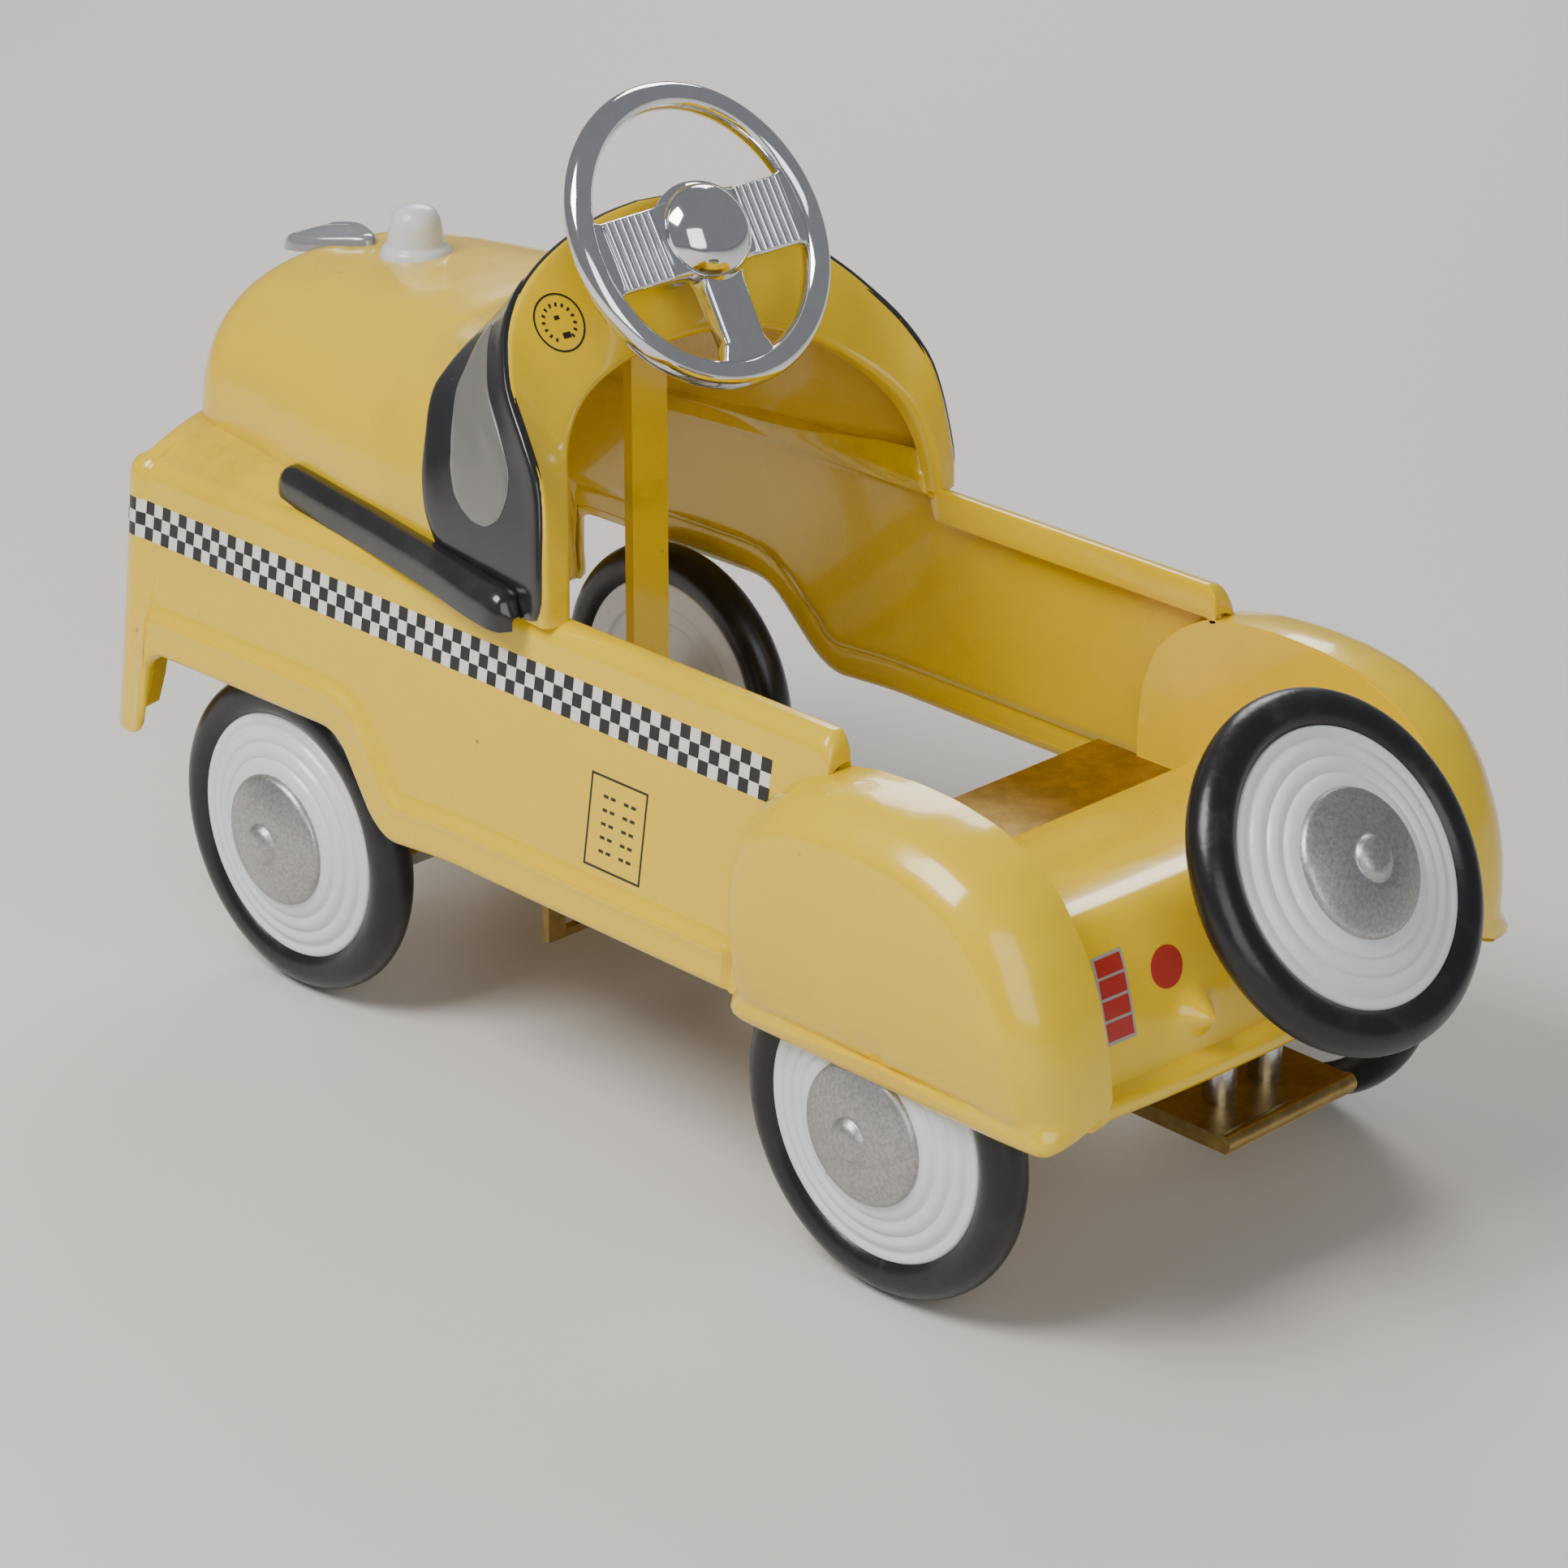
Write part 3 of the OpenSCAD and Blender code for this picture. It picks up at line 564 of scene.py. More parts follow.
def outline_points(points, count):
    """Evenly spaced places round a closed outline, with its corners softened."""
    ring = points + points[:1]
    steps = [
        (a[0] + (b[0] - a[0]) * f / 12, a[1] + (b[1] - a[1]) * f / 12)
        for a, b in zip(ring, ring[1:]) for f in range(12)]
    for _ in range(10):
        steps = [
            ((p[0] + 2 * q[0] + r[0]) / 4, (p[1] + 2 * q[1] + r[1]) / 4)
            for p, q, r in zip(steps[-1:] + steps[:-1], steps, steps[1:] + steps[:1])]
    gaps = [math.dist(p, q) for p, q in zip(steps, steps[1:] + steps[:1])]
    total, places, walked, i = sum(gaps), [], 0.0, 0
    for k in range(count):
        goal = total * k / count
        while walked + gaps[i] < goal:
            walked += gaps[i]
            i += 1
        f = (goal - walked) / gaps[i]
        a, b = steps[i], steps[(i + 1) % len(steps)]
        places.append((a[0] + (b[0] - a[0]) * f, a[1] + (b[1] - a[1]) * f))
    return places


def ring_distance(ring, p):
    """Shortest distance from a point to a closed outline."""
    best = 99.0
    for a, b in zip(ring, ring[1:] + ring[:1]):
        run = (b[0] - a[0]) ** 2 + (b[1] - a[1]) ** 2
        f = ((p[0] - a[0]) * (b[0] - a[0]) + (p[1] - a[1]) * (b[1] - a[1])) / run
        f = min(max(f, 0.0), 1.0)
        best = min(best, math.dist(p, (a[0] + (b[0] - a[0]) * f, a[1] + (b[1] - a[1]) * f)))
    return best


fender_ring = outline_points(fender_line, 150)
fender_steps = [
    0.012, 0.03, 0.05, 0.075, 0.1, 0.13, 0.16, 0.19, 0.22, 0.25, 0.28, 0.32, 0.37, 0.43, 0.5, 0.6,
    0.7, 0.8, 0.9, 1.0]


def fender_columns():
    """Columns of the near fender, from its inner edge over the crest to mid-face."""
    columns = []
    for y, z in fender_ring:
        low = ease(26.5, 23.4, z) if z < 26.5 else 0.0
        base, bend = 26.7 + 4.6 * low, 6.2 - 4.2 * low
        column = [(24.9 + 5.4 * low, y, z), (25.8 + 4.9 * low, y, z), (base, y, z)]
        for f in fender_steps:
            py = y + (fender_middle[0] - y) * f
            pz = z + (fender_middle[1] - z) * f
            d = ring_distance(fender_ring, (py, pz))
            u = min(d / bend, 1.0)
            top = 33.1 + 1.55 * ease(22, 34, pz) - 0.05 * max(0.0, pz - 40)
            ridge = 0.24 * math.exp(-((d - 3.6) / 0.6) ** 2) * ease(0.0, 0.5, 1 - low * 0.4)
            x = base + (top - base) * (1 - (1 - u) ** 2.4) ** (1 / 2.4) + ridge
            column.append((x, py, pz))
        columns.append(column)
    return columns


near_fender = fender_columns()
for name, hand in (("rear_fender_shell_left", 1), ("rear_fender_shell_right", -1)):
    net = [[(hand * x, y, z) for x, y, z in column] for column in near_fender]
    shell = skin(name, net, flip=hand > 0, loop=True)
    thicken(shell, shell_t)
    dress(shell, "body", "yellow_enamel", yellow, name.replace("_shell", ""))

well_x, well_t, well_fit = 24.85, 1.0, 0.985
well_y, well_z = 43, 33
for name, hand in (("rear_fender_wall_left", 1), ("rear_fender_wall_right", -1)):
    fan = [
        [(hand * well_x, well_y + (y - well_y) * well_fit * f, well_z + (z - well_z) * well_fit * f)
         for f in (1.0, 0.66, 0.33, 0.0)]
        for y, z in fender_ring]
    wall = skin(name, fan, flip=hand < 0, loop=True)
    dress(thicken(wall, well_t), "body", "yellow_enamel", yellow)


# ------------------------------------------------------------------------------------------
# Tail deck. The sloping part of the casting between the fenders, which folds over into the
# tail panel and ends in a rolled bead. Two guard nubs stand on it, and a small pip at each
# end of the bead.
# ------------------------------------------------------------------------------------------
deck_profile = rounded([
    (30.4, 31.0), (29.2, 31.6), (29.2, 33.2), (35, 35.3), (41, 37.2), (47.5, 39.6), (53, 40.8),
    (57.6, 40.7), (59.8, 37.0), (61.2, 32.0), (62.4, 26.9)], 2.4, 6)
deck_bead = [
    (62.6, 26.3), (63.2, 26.0), (63.8, 25.7), (64.15, 25.1), (64.15, 24.4), (63.8, 23.8), (63.2, 23.4),
    (62.4, 23.2)]
corner_pip = {"x": 24.7, "z": 28.1, "proud": 0.9, "spread": 1.3}
guard_nub = {"x": 11.3, "z": 30.0, "proud": 2.5, "spread": 2.2}


def swell(bump, x, z):
    """How far a soft round bump stands proud at a place on the tail panel."""
    away = (abs(x) - bump["x"]) ** 2 + (z - bump["z"]) ** 2
    return bump["proud"] * math.exp(-away / bump["spread"])


def deck_columns():
    """Columns across the deck, each running from the seat edge over to the tail's bead."""
    columns = []
    for k in range(93):
        x = -28.4 + 56.8 * k / 92
        column = []
        for y, z in deck_profile + deck_bead:
            reach = 25.6 + 2.8 * ease(55.0, 60.5, y)
            px = x * reach / 28.4
            rear = ease(50, 60, y)
            bow = 1.5 * (px / 27) ** 2 * rear
            raised = (swell(corner_pip, px, z) + swell(guard_nub, px, z)) * rear
            column.append((px, y - bow + raised, z))
        columns.append(column)
    return columns


def fine_run(points, step):
    """The same run with points no further apart than a step."""
    run = [points[0]]
    for a, b in zip(points, points[1:]):
        parts = max(1, math.ceil(math.dist(a, b) / step))
        run += [(a[0] + (b[0] - a[0]) * j / parts, a[1] + (b[1] - a[1]) * j / parts)
                for j in range(1, parts + 1)]
    return run


deck_profile = fine_run(deck_profile, 0.7)
tail = skin("tail_casting", deck_columns())
thicken(tail, shell_t)
dress(tail, "body", "yellow_enamel", yellow, "tail_deck")


# ------------------------------------------------------------------------------------------
# Windshields. Each is cast a little proud of the cowl: a black enamelled frame that runs back
# to the lip and down to the pontoon, with a smooth grey painted pane set in it.
# ------------------------------------------------------------------------------------------
frame_outline = [
    (0.015, 0.56), (0.05, 0.44), (0.11, 0.375), (0.2, 0.34), (0.3, 0.335), (0.4, 0.35), (0.49, 0.385),
    (0.57, 0.44), (0.65, 0.53), (0.71, 0.65), (0.75, 0.79), (0.765, 0.93), (0.74, 0.985), (0.66, 0.99),
    (0.56, 0.99), (0.46, 0.99), (0.36, 0.99), (0.26, 0.99), (0.16, 0.99), (0.07, 0.99), (0.02, 0.97),
    (0.0, 0.9), (0.0, 0.72)]
pane_outline = [
    (0.175, 0.58), (0.2, 0.53), (0.26, 0.50), (0.33, 0.505), (0.41, 0.545), (0.49, 0.595), (0.57, 0.65),
    (0.64, 0.705), (0.675, 0.76), (0.66, 0.80), (0.58, 0.825), (0.49, 0.835), (0.4, 0.84), (0.32, 0.84),
    (0.25, 0.825), (0.195, 0.78), (0.165, 0.71), (0.162, 0.64)]


def cowl_normal(t, s):
    """Outward direction of the cowl at a place."""
    t, s = min(max(t, 0.01), 0.99), min(max(s, 0.01), 0.98)
    up = cowl_point(t + 0.01, s) - cowl_point(t - 0.01, s)
    back = cowl_point(t, s + 0.01) - cowl_point(t, s - 0.01)
    return back.cross(up).normalized()


def cowl_shell(name, outline, heights, wall, hand):
    """A thin raised patch that follows the cowl inside an outline."""
    ring = outline_points([(20 * t, 20 * s) for t, s in outline], 90)
    middle = (sum(p[0] for p in ring) / len(ring), sum(p[1] for p in ring) / len(ring))
    columns = []
    for p in ring:
        column = []
        for inset, lift in heights:
            t = (p[0] + (middle[0] - p[0]) * inset) / 20
            s = (p[1] + (middle[1] - p[1]) * inset) / 20
            place = cowl_point(max(t, 0.0), min(s, 0.99)) + cowl_normal(t, s) * lift
            column.append((hand * place.x, place.y, place.z))
        columns.append(column)
    return thicken(skin(name, columns, flip=hand > 0, loop=True), wall, 0, 50)


frame_heights = [
    (0.0, -0.5), (0.0, 0.1), (0.015, 0.28), (0.04, 0.36), (0.1, 0.38), (0.2, 0.36), (0.3, 0.34), (0.42, 0.34),
    (0.55, 0.34), (0.7, 0.34), (0.85, 0.34), (1.0, 0.34)]
pane_heights = [
    (0.0, 0.2), (0.0, 0.38), (0.02, 0.46), (0.06, 0.50), (0.15, 0.54), (0.3, 0.58), (0.5, 0.6), (0.75, 0.62),
    (1.0, 0.62)]
pane_grey = enamel(
    "pane_grey", (0.17, 0.165, 0.15), (0.10, 0.09, 0.07), 0.12, dirt_and_shade_amount=0.5, wave=0.12)
black = enamel(
    "black_enamel", (0.012, 0.012, 0.013), (0.05, 0.045, 0.04), 0.20, dirt_and_shade_amount=0.5)
frame_t, pane_t = 0.5, 0.3
for label, hand in (("left", 1), ("right", -1)):
    shield = cowl_shell("windshield_frame_" + label, frame_outline, frame_heights, frame_t, hand)
    dress(shield, "body", "black_enamel", black)
    pane = cowl_shell("windshield_pane_" + label, pane_outline, pane_heights, pane_t, hand)
    dress(pane, "body", "grey_paint", pane_grey)


# ------------------------------------------------------------------------------------------
# Lip line and duct bars. A thin line of black enamel follows the cowl's lip over the top. From
# each windshield's foot a rounded bar, cast with the body and enamelled black, runs forwards
# along the foot of the hood to a blunt nose.
# ------------------------------------------------------------------------------------------
line_section = [(0.925, -0.2), (0.925, 0.08), (0.94, 0.14), (0.96, 0.16), (0.98, 0.12), (0.99, -0.2)]
line_start, line_t = 0.70, 0.25
line_columns = []
for k in range(81):
    t = line_start + 2 * (1 - line_start) * k / 80
    hand, t = (1, t) if t <= 1 else (-1, 2 - t)
    column = []
    for s, lift in line_section:
        place = cowl_point(t, s) + cowl_normal(t, s) * lift
        column.append((hand * place.x, place.y, place.z))
    line_columns.append(column)
lip_edge = thicken(skin("lip_line", line_columns, flip=True), line_t, 0, 50)
dress(lip_edge, "body", "black_enamel", black)

duct_path = [
    (22.9, -50.5, 52.7), (23.5, -46, 52.7), (24.2, -41, 52.6), (25.0, -35, 52.5), (26.1, -28, 52.3),
    (27.1, -21, 52.0), (28.0, -15, 51.7), (28.6, -9.5, 51.5)]
duct_steps = 46
duct_half, duct_high, duct_hidden = 2.0, 2.9, 0.4
duct_sunk = {0: 0.5, 16: -0.7}
for label, hand in (("left", 1), ("right", -1)):
    columns = []
    for k in range(duct_steps + 1):
        f = k / duct_steps
        here = Vector(curve_through(duct_path, f))
        along = (Vector(curve_through(duct_path, f + 0.01)) - Vector(curve_through(duct_path, f - 0.01)))
        side = Vector((along.y, -along.x, 0)).normalized() * -1
        blunt = math.sqrt(max(0.0, 1 - (1 - min(f / 0.05, 1.0)) ** 2))
        tail_off = math.sqrt(max(0.0, 1 - ((f - 0.93) / 0.07) ** 2)) if f > 0.93 else 1.0
        half = (duct_half + 0.4 * ease(0.55, 0.95, f)) * (0.6 + 0.4 * blunt) * (0.3 + 0.7 * tail_off)
        high = (duct_high + 0.2 * ease(0.5, 0.8, f)) * (0.45 + 0.55 * blunt) * (0.2 + 0.8 * tail_off)
        column = []
        for j in range(17):
            a = math.radians(180 * j / 16)
            c, v = math.cos(a), math.sin(a)
            reach = half * (duct_hidden if c > 0 else 1.0)
            place = here + side * reach * math.copysign(abs(c) ** 0.75, c)
            place.z += high * v ** 0.75 + duct_sunk.get(j, 0.0)
            column.append((hand * place.x, place.y, place.z))
        columns.append(column)
    bar = settle(skin("duct_bar_" + label, columns, flip=hand > 0), 50)
    dress(bar, "body", "black_enamel", black, "duct_" + label)


# ------------------------------------------------------------------------------------------
# Pad-printed marks. Films of ink a few hundredths of a millimetre proud of the finished enamel:
# the checkered band down each side, an outlined fare card, the tail lamps and a dial on the
# dash. They carry no words.
# ------------------------------------------------------------------------------------------
film_lift, film_t = 0.035, 0.06
film_black = enamel("film_black", (0.012, 0.012, 0.012), (0.05, 0.05, 0.05), 0.4, clear=0.1, wave=0.1)
film_white = enamel("film_white", (0.80, 0.79, 0.74), (0.4, 0.36, 0.25), 0.4, clear=0.1, wave=0.1)
film_red = enamel("film_red", (0.42, 0.018, 0.012), (0.12, 0.03, 0.02), 0.38, clear=0.2, wave=0.1)
film_grey = enamel("film_grey", (0.34, 0.33, 0.30), (0.2, 0.2, 0.15), 0.4, clear=0.1, wave=0.1)


def print_film(name, patches, target, lift=film_lift):
    """Patches of (four corners, material index) laid on a piece's nearest face."""
    finder = BVHTree.FromPolygons(
        [v.co for v in target.data.vertices], [p.vertices for p in target.data.polygons])
    mesh = bpy.data.meshes.new(name)
    build = bmesh.new()
    laid = {}
    for corners, index in patches:
        ring, outward = [], Vector()
        for corner in corners:
            key = tuple(round(c, 3) for c in corner)
            if key not in laid:
                place, normal, _, _ = finder.find_nearest(Vector(corner) * MM)
                laid[key] = (build.verts.new(place + normal * lift * MM), normal)
            ring.append(laid[key][0])
            outward += laid[key][1]
        ring = list(dict.fromkeys(ring))
        if len(ring) > 2:
            face = build.faces.new(ring)
            face.normal_update()
            face.material_index = index
            if face.normal.dot(outward) < 0:
                face.normal_flip()
    build.to_mesh(mesh)
    build.free()
    film = bpy.data.objects.new(name, mesh)
    bpy.context.collection.objects.link(film)
    return film


def tile(corners, across, down, index):
    """Cuts a flat four-cornered patch into small ones that can follow a curve."""
    a, b, c, d = (Vector(p) for p in corners)
    net = [
        [a.lerp(b, i / across).lerp(d.lerp(c, i / across), j / down) for j in range(down + 1)]
        for i in range(across + 1)]
    return [
        ((net[i][j], net[i + 1][j], net[i + 1][j + 1], net[i][j + 1]), index)
        for i in range(across) for j in range(down)]


def ink(film, slot, *finishes):
    """Gives a film its inks and a thickness that reaches into the enamel."""
    for finish in finishes:
        film.data.materials.append(finish)
    walls = film.modifiers.new("film", "SOLIDIFY")
    walls.thickness = film_t * MM
    walls.offset = -1
    settle(film, 30)
    dress(film, "body", slot, None)


band_foot, band_row, band_rows, band_front, band_back = 43.75, 1.35, 3, -73.6, 24.4
band_count = round((band_back - band_front) / band_row)
band_step = (band_back - band_front) / band_count
card_y, card_z, card_w, card_h, card_line = 1.2, 30.6, 7.8, 9.2, 0.22


def lamp_y(z):
    """How far back the sloping tail panel is at a height."""
    return 61.6 - 2.0 * (z - 30) / 8.2


for label, hand in (("left", 1), ("right", -1)):
    squares = []
    for i in range(band_count):
        for row in range(band_rows):
            y0, z0 = band_back - i * band_step, band_foot + row * band_row
            y1, z1 = y0 - band_step, z0 + band_row
            x0, x1 = hand * wall_x(z0), hand * wall_x(z1)
            squares += tile([(x0, y0, z0), (x0, y1, z0), (x1, y1, z1), (x1, y0, z1)], 2, 1, (i + row) % 2)
    band = print_film("checker_band_" + label, squares, lower_body)
    ink(band, "black_enamel", film_black, film_white)

    strokes = []
    y1, z1 = card_y + card_w, card_z + card_h
    lines = [
        (card_y, card_z, y1, card_z + card_line), (card_y, z1 - card_line, y1, z1),
        (card_y, card_z, card_y + card_line, z1), (y1 - card_line, card_z, y1, z1)]
    for row in range(5):
        z = z1 - 2.1 - 1.35 * row
        lines += [(y, z, y + 0.62, z + 0.3) for y in (card_y + 1.9, card_y + 2.9, card_y + 4.7, card_y + 5.7)]
    for ya, za, yb, zb in lines:
        xa, xb = hand * wall_x(za), hand * wall_x(zb)
        strokes += tile([(xa, ya, za), (xa, yb, za), (xb, yb, zb), (xb, ya, zb)], 4, 4, 0)
    card = print_film("fare_card_" + label, strokes, lower_body)
    ink(card, "black_enamel", film_black)

    lamp_x, bar_w, bar_h = hand * 20.3, 3.1, 1.65
    patches = tile([
        (lamp_x - 1.85, lamp_y(30.0), 30.0), (lamp_x + 1.85, lamp_y(30.0), 30.0),
        (lamp_x + 1.85, lamp_y(38.2), 38.2), (lamp_x - 1.85, lamp_y(38.2), 38.2)], 4, 12, 0)
    backing = print_film("tail_lamp_backing_" + label, patches, tail)
    ink(backing, "grey_paint", film_grey)
    patches = []
    for row in range(4):
        z = 30.35 + 1.95 * row
        patches += tile([
            (lamp_x - bar_w / 2, lamp_y(z), z), (lamp_x + bar_w / 2, lamp_y(z), z),
            (lamp_x + bar_w / 2, lamp_y(z + bar_h), z + bar_h),
            (lamp_x - bar_w / 2, lamp_y(z + bar_h), z + bar_h)], 4, 3, 0)
    spot = [(math.cos(math.radians(12 * k)), math.sin(math.radians(12 * k))) for k in range(31)]
    for (c0, s0), (c1, s1) in zip(spot, spot[1:]):
        patches.append((
            [(hand * 13.7, lamp_y(34.8), 34.8),
             (hand * 13.7 + 1.95 * c0, lamp_y(34.8 + 1.95 * s0), 34.8 + 1.95 * s0),
             (hand * 13.7 + 1.95 * c1, lamp_y(34.8 + 1.95 * s1), 34.8 + 1.95 * s1)], 0))
    lamps = print_film("tail_lamp_red_" + label, patches, tail, film_lift * 2)
    ink(lamps, "grey_paint", film_red)

dash_finder = BVHTree.FromPolygons(
    [v.co for v in hood_cowl.data.vertices], [p.vertices for p in hood_cowl.data.polygons])
dial_spot, dial_out, _, _ = dash_finder.find_nearest(Vector((13.9, -19.5, 75.6)) * MM)
dial_middle = dial_spot / MM
dial_right = dial_out.cross(Vector((0, 0, 1))).normalized() * -1
dial_up = dial_out.cross(dial_right).normalized()
dial_r = 3.0


def dial_place(radius, angle):
    """A place on the dial's plane."""
    a = math.radians(angle)
    return tuple(dial_middle + dial_right * radius * math.cos(a) + dial_up * radius * math.sin(a))


dial = []
for k in range(48):
    a0, a1 = 7.5 * k, 7.5 * (k + 1)
    dial.append(([dial_place(dial_r, a0), dial_place(dial_r - 0.2, a0), dial_place(dial_r - 0.2, a1),
                  dial_place(dial_r, a1)], 0))
for k in range(14):
    a0 = -60 + 22.5 * k
    dial.append(([dial_place(2.05, a0), dial_place(1.65, a0 + 1), dial_place(1.65, a0 + 9),
                  dial_place(2.05, a0 + 8)], 0))
for px, py, wide, high in ((-0.1, 0.55, 0.6, 0.42), (0.35, -1.35, 0.95, 0.6)):
    corners = [dial_middle + dial_right * (px + i * wide / 2) + dial_up * (py + j * high / 2)
               for i, j in ((-1, -1), (1, -1), (1, 1), (-1, 1))]
    dial.append(([tuple(c) for c in corners], 0))
gauge = print_film("dash_dial", dial, hood_cowl)
ink(gauge, "black_enamel", film_black)


# ------------------------------------------------------------------------------------------
# Hood ornament and roof light. A low teardrop crest cast with the hood and painted silver-grey,
# and a small stepped lamp of white plastic behind it, pushed into a hole in the hood.
# ------------------------------------------------------------------------------------------
crest_front, crest_back, crest_half, crest_high = -77.4, -64.2, 4.1, 0.9
crest_foot = [(-78, 67.4), (-74, 68.9), (-70, 69.6), (-64, 70.3)]
crest_section = [
    (1.0, -0.9), (1.0, -0.3), (0.985, 0.25), (0.95, 0.6), (0.9, 0.85), (0.82, 0.98), (0.72, 0.92),
    (0.6, 0.95), (0.45, 1.1), (0.3, 1.2), (0.15, 1.26), (0.0, 1.28)]
crest_columns = []
for k in range(49):
    a = math.radians(360 * k / 48)
    column = []
    for r, high in crest_section:
        along = -math.cos(a) * r
        taper = 1 - 0.45 * ease(-0.3, 1.0, along)
        y = (crest_front + crest_back) / 2 + along * (crest_back - crest_front) / 2
        x = math.sin(a) * r * crest_half * taper
        z = height_on(crest_foot, y) + high * crest_high
        column.append((x, y, z))
    crest_columns.append(column)
crest = skin("hood_crest", crest_columns[:-1], loop=True)
crest_paint = enamel("crest_grey", (0.30, 0.31, 0.34), (0.12, 0.11, 0.10), 0.16, metallic=0.35, wave=0.4)
dress(settle(crest, 50), "body", "grey_paint", crest_paint, "hood_ornament")


def lathe(name, profile, place, axis, turns=72, flip=False):
    """Turns a profile of (radius, distance along the axis) into a round piece."""
    axis = Vector(axis).normalized()
    side = axis.orthogonal().normalized()
    other = axis.cross(side)
    columns = []
    for k in range(turns):
        a = 2 * math.pi * k / turns
        way = side * math.cos(a) + other * math.sin(a)
        columns.append([tuple(Vector(place) + way * r + axis * d) for r, d in profile])
    return settle(skin(name, columns, flip=flip, loop=True), 40)


def soft(profile, radius, steps=4):
    """A turned profile with its corners eased."""
    return rounded(profile, radius, steps)


light_profile = soft([
    (0, -1.6), (3.6, -1.6), (3.85, -1.0), (3.9, 0.5), (3.5, 1.5), (3.0, 1.9), (2.85, 3.4),
    (2.65, 4.6), (2.1, 5.5), (1.2, 5.95), (0, 6.05)], 0.45)
lamp_piece = lathe("roof_light_lens", light_profile, (0, -57.3, 70), (0, 0, 1))
lens_white = bpy.data.materials.new("lens_white")
lens_white.use_nodes = True
lens = lens_white.node_tree.nodes["Principled BSDF"]
lens.inputs["Base Color"].default_value = (0.66, 0.68, 0.72, 1)
lens.inputs["Roughness"].default_value = 0.22
lens.inputs["Subsurface Weight"].default_value = 0.15
lens.inputs["Subsurface Radius"].default_value = (0.001, 0.001, 0.001)
lens_grain = lens_white.node_tree.nodes.new("ShaderNodeBump")
lens_grain.inputs["Strength"].default_value = 0.15
lens_grain.inputs["Distance"].default_value = 0.0003
lens_place = lens_white.node_tree.nodes.new("ShaderNodeTexCoord").outputs["Object"]
lens_white.node_tree.links.new(
    noise(lens_white.node_tree, lens_place, 300.0), lens_grain.inputs["Height"])
lens_white.node_tree.links.new(lens_grain.outputs["Normal"], lens.inputs["Normal"])
dress(lamp_piece, "body", "white_plastic", lens_white, "roof_light")


# ------------------------------------------------------------------------------------------
# Wheels and spare. Five alike: a smooth black rubber tyre pressed over a white enamelled disc
# with soft turned steps, and a silver-painted cap with a nub pressed in its middle. The spare
# sits on a stud from the tail.
# ------------------------------------------------------------------------------------------
tyre_profile = [
    (14.75 + 2.24 * math.cos(math.radians(a)), -1.6 + 2.24 * math.sin(math.radians(a)))
    for a in range(-180, 181, 10)]
disc_profile = soft([
    (2.9, -5.0), (3.1, -2.7), (8.0, -2.7), (8.3, -3.0), (10.2, -3.05), (10.5, -3.4), (13.1, -3.3),
    (13.35, -2.6), (13.3, -0.6), (13.0, 0.15), (12.4, 0.22), (11.8, -0.02), (11.5, 0.42), (11.0, 0.62),
    (10.4, 0.55), (10.15, 0.34), (9.85, 0.82), (9.3, 0.98), (8.8, 0.92), (8.55, 0.72), (8.2, 1.18),
    (7.6, 1.32), (6.2, 1.36), (1.3, 1.40), (1.3, -5.0), (2.9, -5.0)], 0.22, 3)
cap_profile = soft([
    (0.0, 1.1), (7.0, 1.1), (7.05, 1.5), (6.8, 1.95), (6.0, 2.3), (5.0, 2.66), (4.0, 2.95),
    (3.2, 3.12), (2.5, 3.2), (2.2, 3.25), (2.05, 3.5), (1.75, 3.85), (1.2, 4.12), (0.6, 4.22),
    (0.0, 4.24)], 0.3, 3)

rubber = bpy.data.materials.new("tyre_rubber")
rubber.use_nodes = True
rubber_tree = rubber.node_tree
rubber_shader = rubber_tree.nodes["Principled BSDF"]
rubber_place = rubber_tree.nodes.new("ShaderNodeTexCoord").outputs["Object"]
rubber_dust = step_up(rubber_tree, noise(rubber_tree, rubber_place, 220.0, 5.0, 0.65), 0.5, 0.78)
rubber_mix = rubber_tree.nodes.new("ShaderNodeMix")
rubber_mix.data_type = "RGBA"
rubber_mix.inputs["A"].default_value = (0.010, 0.010, 0.011, 1)
rubber_mix.inputs["B"].default_value = (0.024, 0.023, 0.022, 1)
rubber_tree.links.new(rubber_dust, rubber_mix.inputs["Factor"])
rubber_tree.links.new(rubber_mix.outputs["Result"], rubber_shader.inputs["Base Color"])
rubber_tree.links.new(
    math_node(rubber_tree, "ADD", 0.29, math_node(rubber_tree, "MULTIPLY", rubber_dust, 0.25)),
    rubber_shader.inputs["Roughness"])
rubber_bump = rubber_tree.nodes.new("ShaderNodeBump")
rubber_bump.inputs["Strength"].default_value = 0.2
rubber_bump.inputs["Distance"].default_value = 0.0002
rubber_tree.links.new(noise(rubber_tree, rubber_place, 700.0), rubber_bump.inputs["Height"])
rubber_tree.links.new(rubber_bump.outputs["Normal"], rubber_shader.inputs["Normal"])


grains, grains_in, grains_out = new_group(
    "metal_grain", [("Position", "NodeSocketVector"), ("Grain Scale", "NodeSocketFloat")],
    ["Grain", "Shade", "Cloud"])
grain_place, grain_scale = grains_in.outputs["Position"], grains_in.outputs["Grain Scale"]
fine_grain = noise(grains, grain_place, grain_scale, 4.0, 0.7)
grains.links.new(fine_grain, grains_out.inputs["Grain"])
grains.links.new(step_up(grains, fine_grain, 0.35, 0.65), grains_out.inputs["Shade"])
cloud_scale = math_node(grains, "MULTIPLY", grain_scale, 0.12)
grains.links.new(noise(grains, grain_place, cloud_scale, 3.0), grains_out.inputs["Cloud"])


